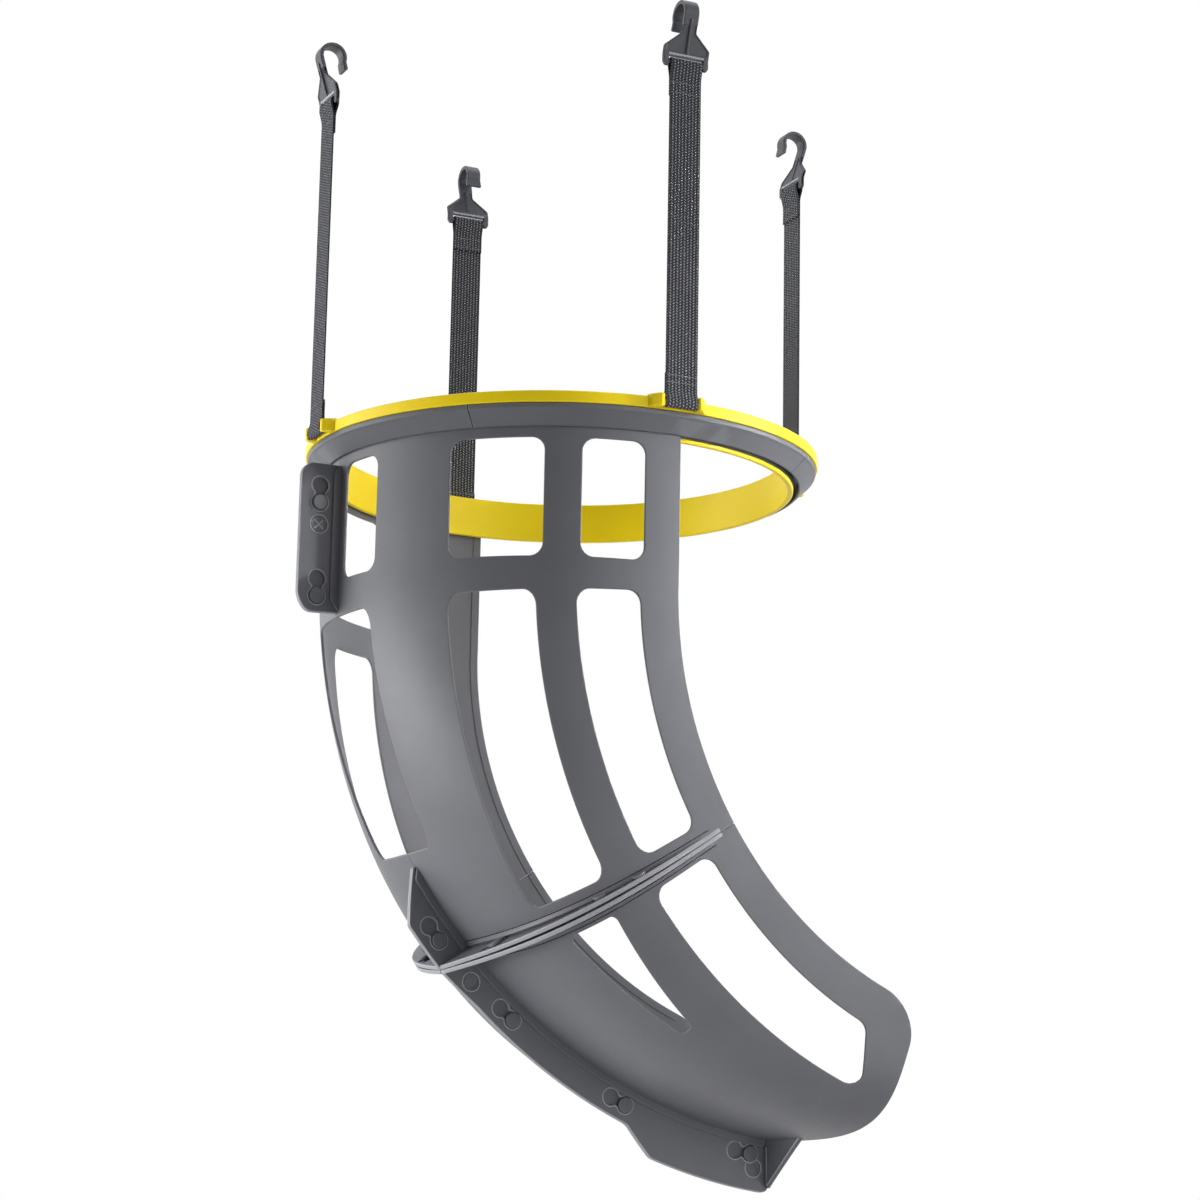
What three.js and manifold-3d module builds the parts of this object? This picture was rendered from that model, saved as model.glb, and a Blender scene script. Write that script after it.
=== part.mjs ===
// Ball return for a basketball hoop, in millimetres with +Z up.
// Four webbing straps hang a track ring under the hoop. A swivel ring turns in the track and carries
// a curved chute of four moulded shells, which sends the ball out towards +X.
// The origin is the centre of the circle on which the four hooks grip the hoop's rod.
import * as THREE from 'three';
import { mergeVertices } from 'three/addons/utils/BufferGeometryUtils.js';
import Module from 'manifold-3d';

const wasm = await Module();
wasm.setup();

// Fits shared by all pieces
const seamGap = 0.3;
const runGap = 0.6;
const cutOverrun = 20;
const windowOverrun = 45;
const weldDepth = 2;
const mergeTolerance = 1e-4;

// Track ring, a channel that is open outwards, with heights from its flange's underside
const boreRadius = 221;
const trackWall = 2.6;
const collarRise = 18;
const flangeHeight = 10.7;
const flangePlate = 3;
const skirtWall = 3;
const lipDrop = 18.5;
const lipThickness = 3.6;
const lipReach = 3.2;
const trackEdgeRound = 1.2;
const ringSteps = 52;

// Strap bars on the track ring, one at each station between two lugs
const stations = ['front', 'left', 'rear', 'right'];
const stationAngle = (2 * Math.PI) / stations.length;
const barRadius = 2.6;
const barRise = 4.5;
const barStandoff = 5.6;
const lugWidth = 13;
const lugReach = 9.5;
const lugRise = 12.4;
const lugTaper = 8;

// Swivel ring, four hollow segments that slide in the track
const swivelWall = 2.6;
const grooveWall = 2.9;
const swivelFlare = 12.7;
const swivelOverhang = 1.6;
const swivelBandDrop = 6;
const swivelBandTaper = 1.4;
const swivelFootWall = 1.8;
const joinerAngle = THREE.MathUtils.degToRad(9);

// Chute, swept down the ring's axis and then round a bend towards +X
const chuteWall = 3;
const grooveGap = 0.9;
const grooveDepth = 10;
const dropLength = 153;
const bendRadius = 400;
const mouthTurn = THREE.MathUtils.degToRad(72.2);
const jointTurn = THREE.MathUtils.degToRad(33.7);
const mouthHalfWidth = 208;
const mouthDepth = 114;
const mouthCornerRadius = 42;
const edgeAngle = THREE.MathUtils.degToRad(93.4);
const depthPower = 1.13;
const roundPower = 2;
const mouthPower = 4.5;
const morphPower = 1.3;
const shellColumns = 12;
const shellStep = 54;

// Windows in the chute: distances down the path, and angles from the spine in degrees
const topRowStart = 28;
const topRowMargin = 15;
const lowRowMargin = 12;
const spineWindowMargin = 9;
const jointMargin = 15;
const lowerMargin = 11;
const mouthMargin = 27;
const slotWindowLength = 98;
const sideWindowSkew = 20;
const topRowAngles = [[4, 17.6], [39.2, 61.4], [70, 84.6]];
const spineWindowRoot = -6;
const spineWindowLeft = 23;
const spineWindowRight = 15.5;
const lowRowAngles = [[39.2, 60], [69.2, 83.9]];
const slotWindowAngles = [44.4, 57.4, 55.6, 52];
const sideWindowAngles = [67.6, 83.8, 82.6, 67.6];
const windowCorner = 12;
const slotCorner = 5;
const cornerSteps = 3;

// Flanges that join the shells, standing out from the spine and round the transverse joint
const plate = 3;
const seamFlangeHeight = 39;
const seamFlangeStart = 26;
const seamFlangeReach = 10;
const seamFlangeCorner = 13;
const lowerFlangeLength = 64;
const lowerFlangeRamp = 31;
const lowerFlangeFoot = 3;
const keelHeight = 31.5;
const keelHeelHeight = 51;
const keelHeelShare = 0.587;
const keelHeelRamp = 26;
const keelInset = 9;
const keelLean = 14;
const keelCorner = 5;
const rootRibHeight = 7.5;
const rootRibWidth = 6;
const gussetReach = 76;
const gussetFoot = 7;
const collarFlangeHeight = 36;
const collarFlangeEnd = THREE.MathUtils.degToRad(89);
const collarFlangePower = 1.4;
const collarFlangeColumns = 12;
const collarPlate = 4.2;
const collarLift = 0.9;

// Fasteners: moulded studs that slide home in keyholes, and flush push rivets
const studShank = 3.9;
const studHead = 7.6;
const studHeadHeight = 2.8;
const studCrown = 0.9;
const keyholeGap = 0.5;
const rivetShank = 3.3;
const rivetBarb = 4.3;
const rivetBarbLength = 4;
const rivetHeadHeight = 1.3;
const rivetSink = 0.4;
const pairSpacing = 16.4;
const seamPegHeight = 20;
const seamPairInset = 21.5;
const seamPairReach = 25.6;
const seamRivetInset = 59;
const lowerPairInset = 27;
const keelPegHeight = 16;
const keelPairShares = [0.154, 0.512, 0.888];
const keelRivetShare = 0.061;
const endRivetHeight = 29;
const endRivetInset = 12;
const collarSeatAngle = THREE.MathUtils.degToRad(24);
const collarPegShare = 0.55;
const pinSteps = 12;

// Straps of flat webbing, sewn into a loop at each end
const strapWidth = 32.5;
const webbing = 1.4;
const strapPitch = 327;
const loopGap = 0.3;
const loopLength = 17;
const lowerSeam = 28;
const upperSeam = 16;
const loopSteps = 7;

// Hooks, each a flat slotted base, a leaning shank and a curled gripping band
const hookBar = 4;
const hookBaseHalf = 23.4;
const hookBaseDrop = 4;
const hookSlotRise = 6.8;
const hookSlotGap = 1.2;
const hookShoulder = 16.5;
const hookShankStart = 28.5;
const hookShankHalf = 6.9;
const hookBandStart = 37;
const hookBandHalf = 7.6;
const hookThickness = 4;
const hookBore = 10;
const hookCentre = 48;
const hookStartAngle = THREE.MathUtils.degToRad(-20);
const hookEndAngle = THREE.MathUtils.degToRad(197);
const hookTip = 9;
const hookTipLean = THREE.MathUtils.degToRad(12);
const hookRibHalf = 1.3;
const hookRibRise = 1.4;
const hookBaseCorner = 3;
const hookSteps = 14;

// Places worked out from the sizes above
const halfGap = seamGap / 2;
const channelRadius = boreRadius + trackWall;
const swivelBore = channelRadius + runGap;
const grooveInner = swivelBore + grooveWall;
const chuteRadius = grooveInner + grooveGap + chuteWall;
const grooveOuter = chuteRadius + grooveGap;
const footOuter = grooveOuter + swivelFootWall;
const swivelRim = footOuter + swivelFlare;
const flangeRadius = swivelRim + runGap + skirtWall;
const swivelTop = flangeHeight - flangePlate - runGap;
const swivelBase = -lipDrop + seamGap;
const grooveTop = swivelBase + grooveDepth;
const chuteStart = -grooveTop + seamGap;
const jointPath = dropLength + bendRadius * jointTurn;
const mouthPath = dropLength + bendRadius * mouthTurn;
const lowRowStart = dropLength + lowRowMargin;
const seamFlangeEnd = dropLength + seamFlangeReach;
const lowerFlangeStart = jointPath - lowerFlangeLength;
const keelHeelStart = THREE.MathUtils.lerp(jointPath, mouthPath, keelHeelShare);
const keelEnd = mouthPath - keelInset;
const barDistance = flangeRadius + barStandoff;
const hookBarRise = barRise + strapPitch;
const ringDrop = hookBarRise + hookCentre;
const zAxis = new THREE.Vector3(0, 0, 1);
const yAxis = new THREE.Vector3(0, 1, 0);

// Closed meshes and their joins and cuts

function signedVolume(position, index) {
  const a = new THREE.Vector3();
  const b = new THREE.Vector3();
  const c = new THREE.Vector3();
  let sum = 0;
  for (let i = 0; i < index.length; i += 3) {
    a.fromBufferAttribute(position, index[i]);
    b.fromBufferAttribute(position, index[i + 1]);
    c.fromBufferAttribute(position, index[i + 2]);
    sum += a.dot(b.cross(c));
  }
  return sum / 6;
}

function solidOf(geometry) {
  const bare = geometry.clone();
  bare.deleteAttribute('normal');
  bare.deleteAttribute('uv');
  const merged = mergeVertices(bare, mergeTolerance);
  const triVerts = new Uint32Array(merged.index.array);
  if (signedVolume(merged.attributes.position, triVerts) < 0) {
    triVerts.reverse();
  }
  const vertProperties = new Float32Array(merged.attributes.position.array);
  return new wasm.Manifold(new wasm.Mesh({ numProp: 3, vertProperties, triVerts }));
}

function geometryOf(solid) {
  const { vertProperties, triVerts } = solid.getMesh();
  const geometry = new THREE.BufferGeometry();
  geometry.setAttribute('position', new THREE.BufferAttribute(vertProperties, 3));
  geometry.setIndex(new THREE.BufferAttribute(triVerts, 1));
  geometry.computeVertexNormals();
  return geometry;
}

function joined(first, ...others) {
  return others.reduce((whole, piece) => whole.add(piece), first);
}

function cutBy(first, ...cutters) {
  return cutters.reduce((rest, cutter) => rest.subtract(cutter), first);
}

// An outline with rounded corners and x down the chute's path, divided where it crosses the skin's rows
function roundedLoop(corners) {
  const loop = corners.flatMap(([x, y, radius], i) => {
    const corner = new THREE.Vector2(x, y);
    const before = new THREE.Vector2(...corners.at(i - 1)).sub(corner).normalize();
    const after = new THREE.Vector2(...corners[(i + 1) % corners.length]).sub(corner).normalize();
    const half = Math.acos(before.dot(after)) / 2;
    const middle = before.clone().add(after).normalize().multiplyScalar(radius / Math.sin(half));
    const centre = corner.clone().add(middle);
    const start = corner.clone().addScaledVector(before, radius / Math.tan(half));
    const turn = Math.sign(after.cross(before)) * (Math.PI - 2 * half);
    return Array.from({ length: cornerSteps + 1 }, (_, k) => (
      start.clone().rotateAround(centre, turn * k / cornerSteps)
    ));
  });
  return loop.flatMap((point, i) => {
    const next = loop[(i + 1) % loop.length];
    const crossed = skinRows.filter((row) => (row - point.x) * (row - next.x) < 0);
    const cuts = crossed.map((row) => point.clone().lerp(next, (row - point.x) / (next.x - point.x)));
    return [point, ...(next.x < point.x ? cuts.reverse() : cuts)];
  });
}

function extruded(shape, depth) {
  return new THREE.ExtrudeGeometry(shape, { depth, bevelEnabled: false });
}

// A prism over an outline, every point of which is then moved by pointAt(x, y, depth)
function mappedPrism(outline, from, to, pointAt) {
  const geometry = extruded(new THREE.Shape(outline), to - from);
  const { position } = geometry.attributes;
  for (let i = 0; i < position.count; i += 1) {
    const point = pointAt(position.getX(i), position.getY(i), position.getZ(i) + from);
    position.setXYZ(i, point.x, point.y, point.z);
  }
  return solidOf(geometry);
}

// A closed skin of two layers over a grid, from pointAt(share, row, layer) with the share across the columns
function latticeSolid(columns, rows, pointAt) {
  const points = [];
  const at = (i, j, layer) => (layer * (rows + 1) + j) * (columns + 1) + i;
  for (let layer = 0; layer <= 1; layer += 1) {
    for (let j = 0; j <= rows; j += 1) {
      for (let i = 0; i <= columns; i += 1) {
        points.push(...pointAt(i / columns, j, layer).toArray());
      }
    }
  }
  const index = [];
  const quad = (a, b, c, d) => index.push(a, b, c, a, c, d);
  for (let j = 0; j < rows; j += 1) {
    for (let i = 0; i < columns; i += 1) {
      quad(at(i, j, 1), at(i + 1, j, 1), at(i + 1, j + 1, 1), at(i, j + 1, 1));
      quad(at(i, j, 0), at(i, j + 1, 0), at(i + 1, j + 1, 0), at(i + 1, j, 0));
    }
  }
  for (let i = 0; i < columns; i += 1) {
    quad(at(i, 0, 0), at(i + 1, 0, 0), at(i + 1, 0, 1), at(i, 0, 1));
    quad(at(i, rows, 1), at(i + 1, rows, 1), at(i + 1, rows, 0), at(i, rows, 0));
  }
  for (let j = 0; j < rows; j += 1) {
    quad(at(0, j, 0), at(0, j, 1), at(0, j + 1, 1), at(0, j + 1, 0));
    quad(at(columns, j, 1), at(columns, j, 0), at(columns, j + 1, 0), at(columns, j + 1, 1));
  }
  const geometry = new THREE.BufferGeometry();
  geometry.setAttribute('position', new THREE.Float32BufferAttribute(points, 3));
  geometry.setIndex(index);
  return solidOf(geometry);
}

function turned(profile, steps) {
  const points = [...profile, profile[0]].map(([radius, height]) => new THREE.Vector2(radius, height));
  return new THREE.LatheGeometry(points, steps).rotateX(Math.PI / 2);
}

// A pin turned about its own axis, set down at a place with its nose along a direction
function turnedPin(profile) {
  const points = profile.map(([radius, height]) => new THREE.Vector2(radius, height));
  return new THREE.LatheGeometry(points, pinSteps).rotateX(Math.PI / 2);
}

function placed(geometry, origin, direction) {
  const spin = new THREE.Quaternion().setFromUnitVectors(zAxis, direction);
  return geometry.clone().applyQuaternion(spin).translate(origin.x, origin.y, origin.z);
}

function drill(radius, origin, direction) {
  const cylinder = new THREE.CylinderGeometry(radius, radius, 2 * cutOverrun, pinSteps);
  return solidOf(placed(cylinder.rotateX(Math.PI / 2), origin, direction));
}

// The chute's path and section

function turnAt(path) {
  return Math.max(0, path - dropLength) / bendRadius;
}

function axisAt(path) {
  const turn = turnAt(path);
  const x = bendRadius * (1 - Math.cos(turn));
  return new THREE.Vector3(x, 0, -Math.min(path, dropLength) - bendRadius * Math.sin(turn));
}

function alongAt(path) {
  return new THREE.Vector3(Math.sin(turnAt(path)), 0, -Math.cos(turnAt(path)));
}

function backAt(path) {
  return new THREE.Vector3(-Math.cos(turnAt(path)), 0, -Math.sin(turnAt(path)));
}

// The section is a circle under the ring and turns into a shallow square-cornered trough at the mouth
function sectionRadius(path, angle) {
  const share = turnAt(path) / mouthTurn;
  const halfWidth = THREE.MathUtils.lerp(chuteRadius, mouthHalfWidth, share);
  const depth = THREE.MathUtils.lerp(chuteRadius, mouthDepth, share ** depthPower);
  const power = THREE.MathUtils.lerp(roundPower, mouthPower, share ** morphPower);
  const across = Math.abs(Math.sin(angle)) / halfWidth;
  const down = Math.abs(Math.cos(angle)) / depth;
  return (across ** power + down ** power) ** (-1 / power);
}

function chutePoint(path, angle, offset) {
  const radius = sectionRadius(path, angle) + offset;
  return axisAt(path)
    .addScaledVector(backAt(path), radius * Math.cos(angle))
    .addScaledVector(yAxis, radius * Math.sin(angle));
}

function spinePoint(path, height, y) {
  return chutePoint(path, 0, height).setY(y);
}

// The half shells, with side 1 on the left of the ball's way out and -1 on the right

// The skin's rows down the path: one step over the straight drop, and even ones round the bend
function rowsBetween(from, to) {
  const bendStart = Math.max(from, dropLength);
  const count = Math.ceil((to - bendStart) / shellStep);
  const rows = Array.from({ length: count + 1 }, (_, k) => THREE.MathUtils.lerp(bendStart, to, k / count));
  return from < bendStart ? [from, ...rows] : rows;
}

const upperRows = rowsBetween(chuteStart, jointPath - halfGap);
const lowerRows = rowsBetween(jointPath + halfGap, mouthPath);
const skinRows = [...upperRows, ...lowerRows];

function shellSkin(side, rows) {
  return latticeSolid(shellColumns, rows.length - 1, (share, row, layer) => {
    const point = chutePoint(rows[row], share * edgeAngle, (layer - 1) * chuteWall);
    point.y = Math.max(point.y, halfGap) * side;
    return point;
  });
}

// A cutter right through the wall, over an outline in distances down the path and round the ring
function wallCutter(side, outline) {
  return mappedPrism(outline, -windowOverrun, windowOverrun, (path, reach, offset) => {
    const point = chutePoint(path, reach / chuteRadius, offset);
    return point.setY(point.y * side);
  });
}

function windowCutter(side, corners, radius) {
  const reachPerDegree = THREE.MathUtils.degToRad(chuteRadius);
  const loop = corners.map(([path, degrees]) => [path, degrees * reachPerDegree, radius]);
  return wallCutter(side, roundedLoop(loop));
}

function boxWindow(side, from, to, [near, far]) {
  return windowCutter(side, [[from, near], [from, far], [to, far], [to, near]], windowCorner);
}

// What lies outside the rounded corner between the chute's free edge and its mouth
function mouthCornerCutter(side) {
  const edge = edgeAngle * chuteRadius;
  const centre = new THREE.Vector2(mouthPath - mouthCornerRadius, edge - mouthCornerRadius);
  const loop = Array.from({ length: 2 * cornerSteps + 1 }, (_, k) => {
    const angle = (Math.PI / 2) * (k / (2 * cornerSteps));
    const arm = new THREE.Vector2(Math.cos(angle), Math.sin(angle)).multiplyScalar(mouthCornerRadius);
    return arm.add(centre);
  });
  loop.push(new THREE.Vector2(centre.x, edge + cutOverrun));
  loop.push(new THREE.Vector2(mouthPath + cutOverrun, edge + cutOverrun));
  loop.push(new THREE.Vector2(mouthPath + cutOverrun, centre.y));
  return wallCutter(side, loop);
}

// A flat plate in the seam plane, from the spine up to a crest given as [distance down the path, height].
// Past leanStart its rows lean forward, by lean at the crest's last point
function seamPlate(side, crest, width, leanStart = Infinity, lean = 0) {
  const end = crest.at(-1)[0];
  const stations = crest.flatMap(([path, height], i) => {
    const [nextPath, nextHeight] = crest[Math.min(i + 1, crest.length - 1)];
    const crossed = skinRows.filter((row) => row > path && row < nextPath);
    return [[path, height], ...crossed.map((row) => (
      [row, THREE.MathUtils.mapLinear(row, path, nextPath, height, nextHeight)]
    ))];
  });
  return latticeSolid(1, stations.length - 1, (share, row, layer) => {
    const [path, height] = stations[row];
    const slip = lean * Math.max(0, path - leanStart) / (end - leanStart) || 0;
    const reach = THREE.MathUtils.lerp(-weldDepth, height, share);
    return spinePoint(path - slip * (1 - share), reach, side * (halfGap + layer * width));
  });
}

// The rib along a flange's root, which slopes down at an end that nothing stands across
function rootRib(side, from, to, startSlope, endSlope) {
  const crest = [[from + rootRibHeight * startSlope, rootRibHeight], [to - rootRibHeight * endSlope, rootRibHeight]];
  const foot = -weldDepth / 2;
  const slopes = [startSlope && [[from, foot]], crest, endSlope && [[to, foot]]].filter(Boolean);
  return seamPlate(side, slopes.flat(), rootRibWidth);
}

// The rounded corner of a crest, rising away from an end
function crestCorner(path, height, radius, direction) {
  const arc = Array.from({ length: cornerSteps + 1 }, (_, k) => {
    const angle = (Math.PI / 2) * (k / cornerSteps);
    return [path + direction * radius * (1 - Math.cos(angle)), height - radius * (1 - Math.sin(angle))];
  });
  return direction < 0 ? arc.reverse() : arc;
}

function seamFlange(side) {
  const crest = [
    ...crestCorner(seamFlangeStart, seamFlangeHeight, seamFlangeCorner, 1),
    ...crestCorner(seamFlangeEnd, seamFlangeHeight, seamFlangeCorner, -1),
  ];
  return joined(seamPlate(side, crest, plate), rootRib(side, seamFlangeStart, seamFlangeEnd, 1, 1));
}

function lowerFlange(side) {
  const end = jointPath - halfGap;
  const crest = [
    [lowerFlangeStart, lowerFlangeFoot], [lowerFlangeStart + lowerFlangeRamp, collarFlangeHeight],
    [end, collarFlangeHeight],
  ];
  return joined(seamPlate(side, crest, plate), rootRib(side, lowerFlangeStart, end, 1, 0));
}

function keel(side) {
  const start = jointPath + halfGap;
  const crestEnd = keelEnd + keelLean;
  const crest = [
    [start, collarFlangeHeight], [start + lowerFlangeRamp, keelHeight], [keelHeelStart, keelHeight],
    [keelHeelStart + keelHeelRamp, keelHeelHeight], ...crestCorner(crestEnd, keelHeelHeight, keelCorner, -1),
  ];
  const web = seamPlate(side, crest, plate, keelHeelStart, keelLean);
  return joined(web, rootRib(side, start, keelEnd, 0, 0), keelGusset(side));
}

// The cross plate at the keel's end, which leans as the keel's end does
function keelGusset(side) {
  const loop = [
    [halfGap, -weldDepth], [halfGap, keelHeelHeight - keelCorner], [gussetFoot, keelHeelHeight - keelCorner],
    [gussetReach, 0], [gussetReach, -weldDepth],
  ].map((corner) => new THREE.Vector2(...corner));
  return mappedPrism(loop, -plate, 0, (y, height, depth) => {
    const path = keelEnd + keelLean * (height + weldDepth) / (keelHeelHeight + weldDepth);
    return spinePoint(path, height, y * side).addScaledVector(alongAt(keelEnd), depth);
  });
}

// The flange round the transverse joint, which fades out towards the chute's free edge. Its two plates
// touch at both ends and stand a little apart between them.
// It lies above the joint's plane on an upper shell, with level -1, and below it on a lower one
function collarHeight(angle) {
  return collarFlangeHeight * (1 - angle / collarFlangeEnd) ** collarFlangePower;
}

function collarFlange(side, level) {
  const path = jointPath + level * halfGap;
  return latticeSolid(collarFlangeColumns, 1, (share, row, layer) => {
    const angle = share * collarFlangeEnd;
    const lift = collarLift * Math.sin(Math.PI * share);
    const point = chutePoint(path, angle, THREE.MathUtils.lerp(-weldDepth, collarHeight(angle), row));
    point.addScaledVector(alongAt(path), level * (lift + layer * collarPlate));
    point.y = Math.max(point.y, halfGap) * side;
    return point;
  });
}

// Fastener places: a keyhole's wide end, and the seat that its stud slides to

// A pair on a seam flange runs along the spine's curve
function seamPair(path, height) {
  const entry = spinePoint(path, height, 0);
  const slide = spinePoint(path + pairSpacing, height, 0).sub(entry).setLength(pairSpacing);
  return { entry, seat: entry.clone().add(slide), axis: yAxis.clone().negate() };
}

// A pair on the transverse flange follows its crest
function collarPair(side) {
  const pointAt = (angle) => chutePoint(jointPath, angle, collarPegShare * collarHeight(angle));
  const seat = pointAt(collarSeatAngle);
  const spacingAngle = pairSpacing / (sectionRadius(jointPath, collarSeatAngle) + collarFlangeHeight / 2);
  const entry = pointAt(collarSeatAngle - spacingAngle);
  seat.y *= side;
  entry.y *= side;
  return { entry, seat, axis: alongAt(jointPath).negate() };
}

function keyhole({ entry, seat, axis }) {
  const slide = seat.clone().sub(entry);
  const neck = new THREE.BoxGeometry(slide.length(), 2 * (studShank + keyholeGap), 2 * cutOverrun);
  const across = axis.clone().cross(slide).normalize();
  const frame = new THREE.Matrix4().makeBasis(slide.clone().normalize(), across, axis);
  neck.applyMatrix4(frame.setPosition(entry.clone().lerp(seat, 0.5)));
  const wide = drill(studHead + keyholeGap, entry, axis);
  return joined(wide, drill(studShank + keyholeGap, seat, axis), solidOf(neck));
}

// A stud stands on the far plate, and its head lies over the near one
function stud({ seat, axis }, neck) {
  const foot = -halfGap - weldDepth;
  const top = neck + studHeadHeight;
  const profile = [
    [0, foot], [studShank, foot], [studShank, neck], [studHead, neck], [studHead - studCrown, top], [0, top],
  ];
  return solidOf(placed(turnedPin(profile), seat, axis));
}

const seamFace = halfGap + plate;
const seamNeck = seamFace + seamGap;
const collarNeck = halfGap + collarLift + collarPlate + seamGap;
const rivetSeat = seamFace - rivetSink - rivetHeadHeight;
const rivetTop = seamFace - rivetSink;
const barbRoot = -seamNeck;
const rivetProfile = [
  [0, barbRoot - rivetBarbLength], [rivetBarb, barbRoot], [rivetShank, barbRoot], [rivetShank, rivetSeat],
  [studHead, rivetSeat], [studHead, rivetTop], [0, rivetTop],
];

const seamKeys = [seamFlangeStart + seamPairInset, seamFlangeEnd - seamPairReach, jointPath - lowerPairInset]
  .map((path) => seamPair(path, seamPegHeight));
const keelKeys = keelPairShares
  .map((share) => seamPair(THREE.MathUtils.lerp(jointPath, mouthPath, share), keelPegHeight));
const seamPins = [seamPair(seamFlangeStart + seamRivetInset, seamPegHeight)];
const keelPins = [
  seamPair(THREE.MathUtils.lerp(jointPath, mouthPath, keelRivetShare), seamPegHeight),
  seamPair(mouthPath - endRivetInset, endRivetHeight),
];

// Seam flanges have keyholes and sunk rivet seats on the right half, and studs on the left half
function seamFastenings(shell, side, keys, pins) {
  const holes = pins.map(({ entry, axis }) => drill(rivetShank + keyholeGap, entry, axis));
  const drilled = cutBy(shell, ...holes);
  if (side > 0) {
    return joined(drilled, ...keys.map((pair) => stud(pair, seamNeck)));
  }
  const seats = pins.map(({ entry, axis }) => {
    const floor = entry.clone().addScaledVector(axis, cutOverrun + rivetSeat - seamGap);
    return drill(studHead + keyholeGap, floor, axis);
  });
  return cutBy(drilled, ...keys.map(keyhole), ...seats);
}

function upperShell(side) {
  const topRowEnd = dropLength - topRowMargin;
  const lowRowEnd = jointPath - jointMargin;
  const spineWindowEnd = lowerFlangeStart - spineWindowMargin;
  const spineWindowAngles = [spineWindowRoot, side > 0 ? spineWindowLeft : spineWindowRight];
  const windows = [
    ...topRowAngles.map((angles) => boxWindow(side, topRowStart, topRowEnd, angles)),
    ...lowRowAngles.map((angles) => boxWindow(side, lowRowStart, lowRowEnd, angles)),
    boxWindow(side, lowRowStart, spineWindowEnd, spineWindowAngles),
  ];
  const walls = cutBy(shellSkin(side, upperRows), ...windows);
  const whole = joined(walls, seamFlange(side), lowerFlange(side), collarFlange(side, -1));
  return cutBy(seamFastenings(whole, side, seamKeys, seamPins), keyhole(collarPair(side)));
}

function lowerShell(side) {
  const windowStart = jointPath + lowerMargin;
  const [slotA, slotB, slotC, slotD] = slotWindowAngles;
  const [sideA, sideB, sideC, sideD] = sideWindowAngles;
  const slotEnd = windowStart + slotWindowLength;
  const sideEnd = mouthPath - mouthMargin;
  const slotLoop = [[windowStart, slotA], [windowStart, slotB], [slotEnd, slotC], [slotEnd, slotD]];
  const sideLoop = [
    [windowStart, sideA], [windowStart, sideB], [sideEnd - sideWindowSkew, sideC], [sideEnd, sideD],
  ];
  const windows = [windowCutter(side, slotLoop, slotCorner), windowCutter(side, sideLoop, windowCorner)];
  const walls = cutBy(shellSkin(side, lowerRows), ...windows, mouthCornerCutter(side));
  const whole = joined(walls, keel(side), collarFlange(side, 1));
  return joined(seamFastenings(whole, side, keelKeys, keelPins), stud(collarPair(side), collarNeck));
}

// The track ring and its strap bars

const trackProfile = [
  [boreRadius, -lipDrop - lipThickness + trackEdgeRound],
  [boreRadius, collarRise],
  [channelRadius, collarRise],
  [channelRadius, flangeHeight],
  [flangeRadius - trackEdgeRound, flangeHeight],
  [flangeRadius, flangeHeight - trackEdgeRound],
  [flangeRadius, 0],
  [flangeRadius - skirtWall, 0],
  [flangeRadius - skirtWall, flangeHeight - flangePlate],
  [channelRadius, flangeHeight - flangePlate],
  [channelRadius, -lipDrop],
  [channelRadius + lipReach, -lipDrop],
  [channelRadius + lipReach - trackEdgeRound, -lipDrop - lipThickness],
  [boreRadius + trackEdgeRound, -lipDrop - lipThickness],
];

// A lug seen from above, with x outwards and y along the rim
function lugSolid(side, turn) {
  const inner = strapWidth / 2 + runGap;
  const outer = inner + lugWidth;
  const root = flangeRadius - skirtWall;
  const tip = flangeRadius + lugReach;
  const loop = [[root, inner], [tip, inner], [tip, outer - lugTaper], [root, outer]]
    .map(([x, y]) => new THREE.Vector2(x, y * side));
  return mappedPrism(loop, 0, lugRise, (x, y, z) => new THREE.Vector3(x, y, z).applyAxisAngle(zAxis, turn));
}

function strapBar(turn) {
  const length = strapWidth + 2 * runGap + lugWidth;
  const bar = new THREE.CylinderGeometry(barRadius, barRadius, length, pinSteps);
  return solidOf(bar.translate(barDistance, 0, barRise).rotateZ(turn));
}

function trackRing() {
  const fittings = stations.flatMap((_, k) => {
    const turn = k * stationAngle;
    return [strapBar(turn), lugSolid(1, turn), lugSolid(-1, turn)];
  });
  return joined(solidOf(turned(trackProfile, ringSteps)), ...fittings);
}

// Swivel ring segments and the joiners in their hollow

const bandTop = -seamGap;
const coneTop = -swivelBandDrop;
const pocketTop = swivelTop - swivelWall;
const pocketBase = grooveTop + swivelWall;
const pocketOuter = swivelRim - swivelWall;
const coneSlope = (swivelRim - footOuter) / (coneTop - swivelBase);
const swivelProfile = [
  [swivelBore, swivelBase], [grooveInner, swivelBase], [grooveInner, grooveTop], [grooveOuter, grooveTop],
  [grooveOuter, swivelBase], [footOuter, swivelBase], [swivelRim, coneTop],
  [swivelRim + swivelOverhang, coneTop + swivelBandTaper], [swivelRim + swivelOverhang, bandTop],
  [swivelRim, bandTop], [swivelRim, swivelTop], [swivelBore, swivelTop],
  [swivelBore, pocketTop], [pocketOuter, pocketTop], [pocketOuter, coneTop + swivelWall],
  [pocketOuter - coneSlope * (coneTop + swivelWall - pocketBase), pocketBase], [swivelBore, pocketBase],
];
const joinerProfile = [
  [swivelBore + runGap, pocketBase + seamGap],
  [pocketOuter - coneSlope * (coneTop + swivelWall - pocketBase) - seamGap, pocketBase + seamGap],
  [pocketOuter - seamGap - grooveGap, coneTop + swivelWall],
  [pocketOuter - seamGap - grooveGap, pocketTop - seamGap],
  [swivelBore + runGap, pocketTop - seamGap],
];

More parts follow.
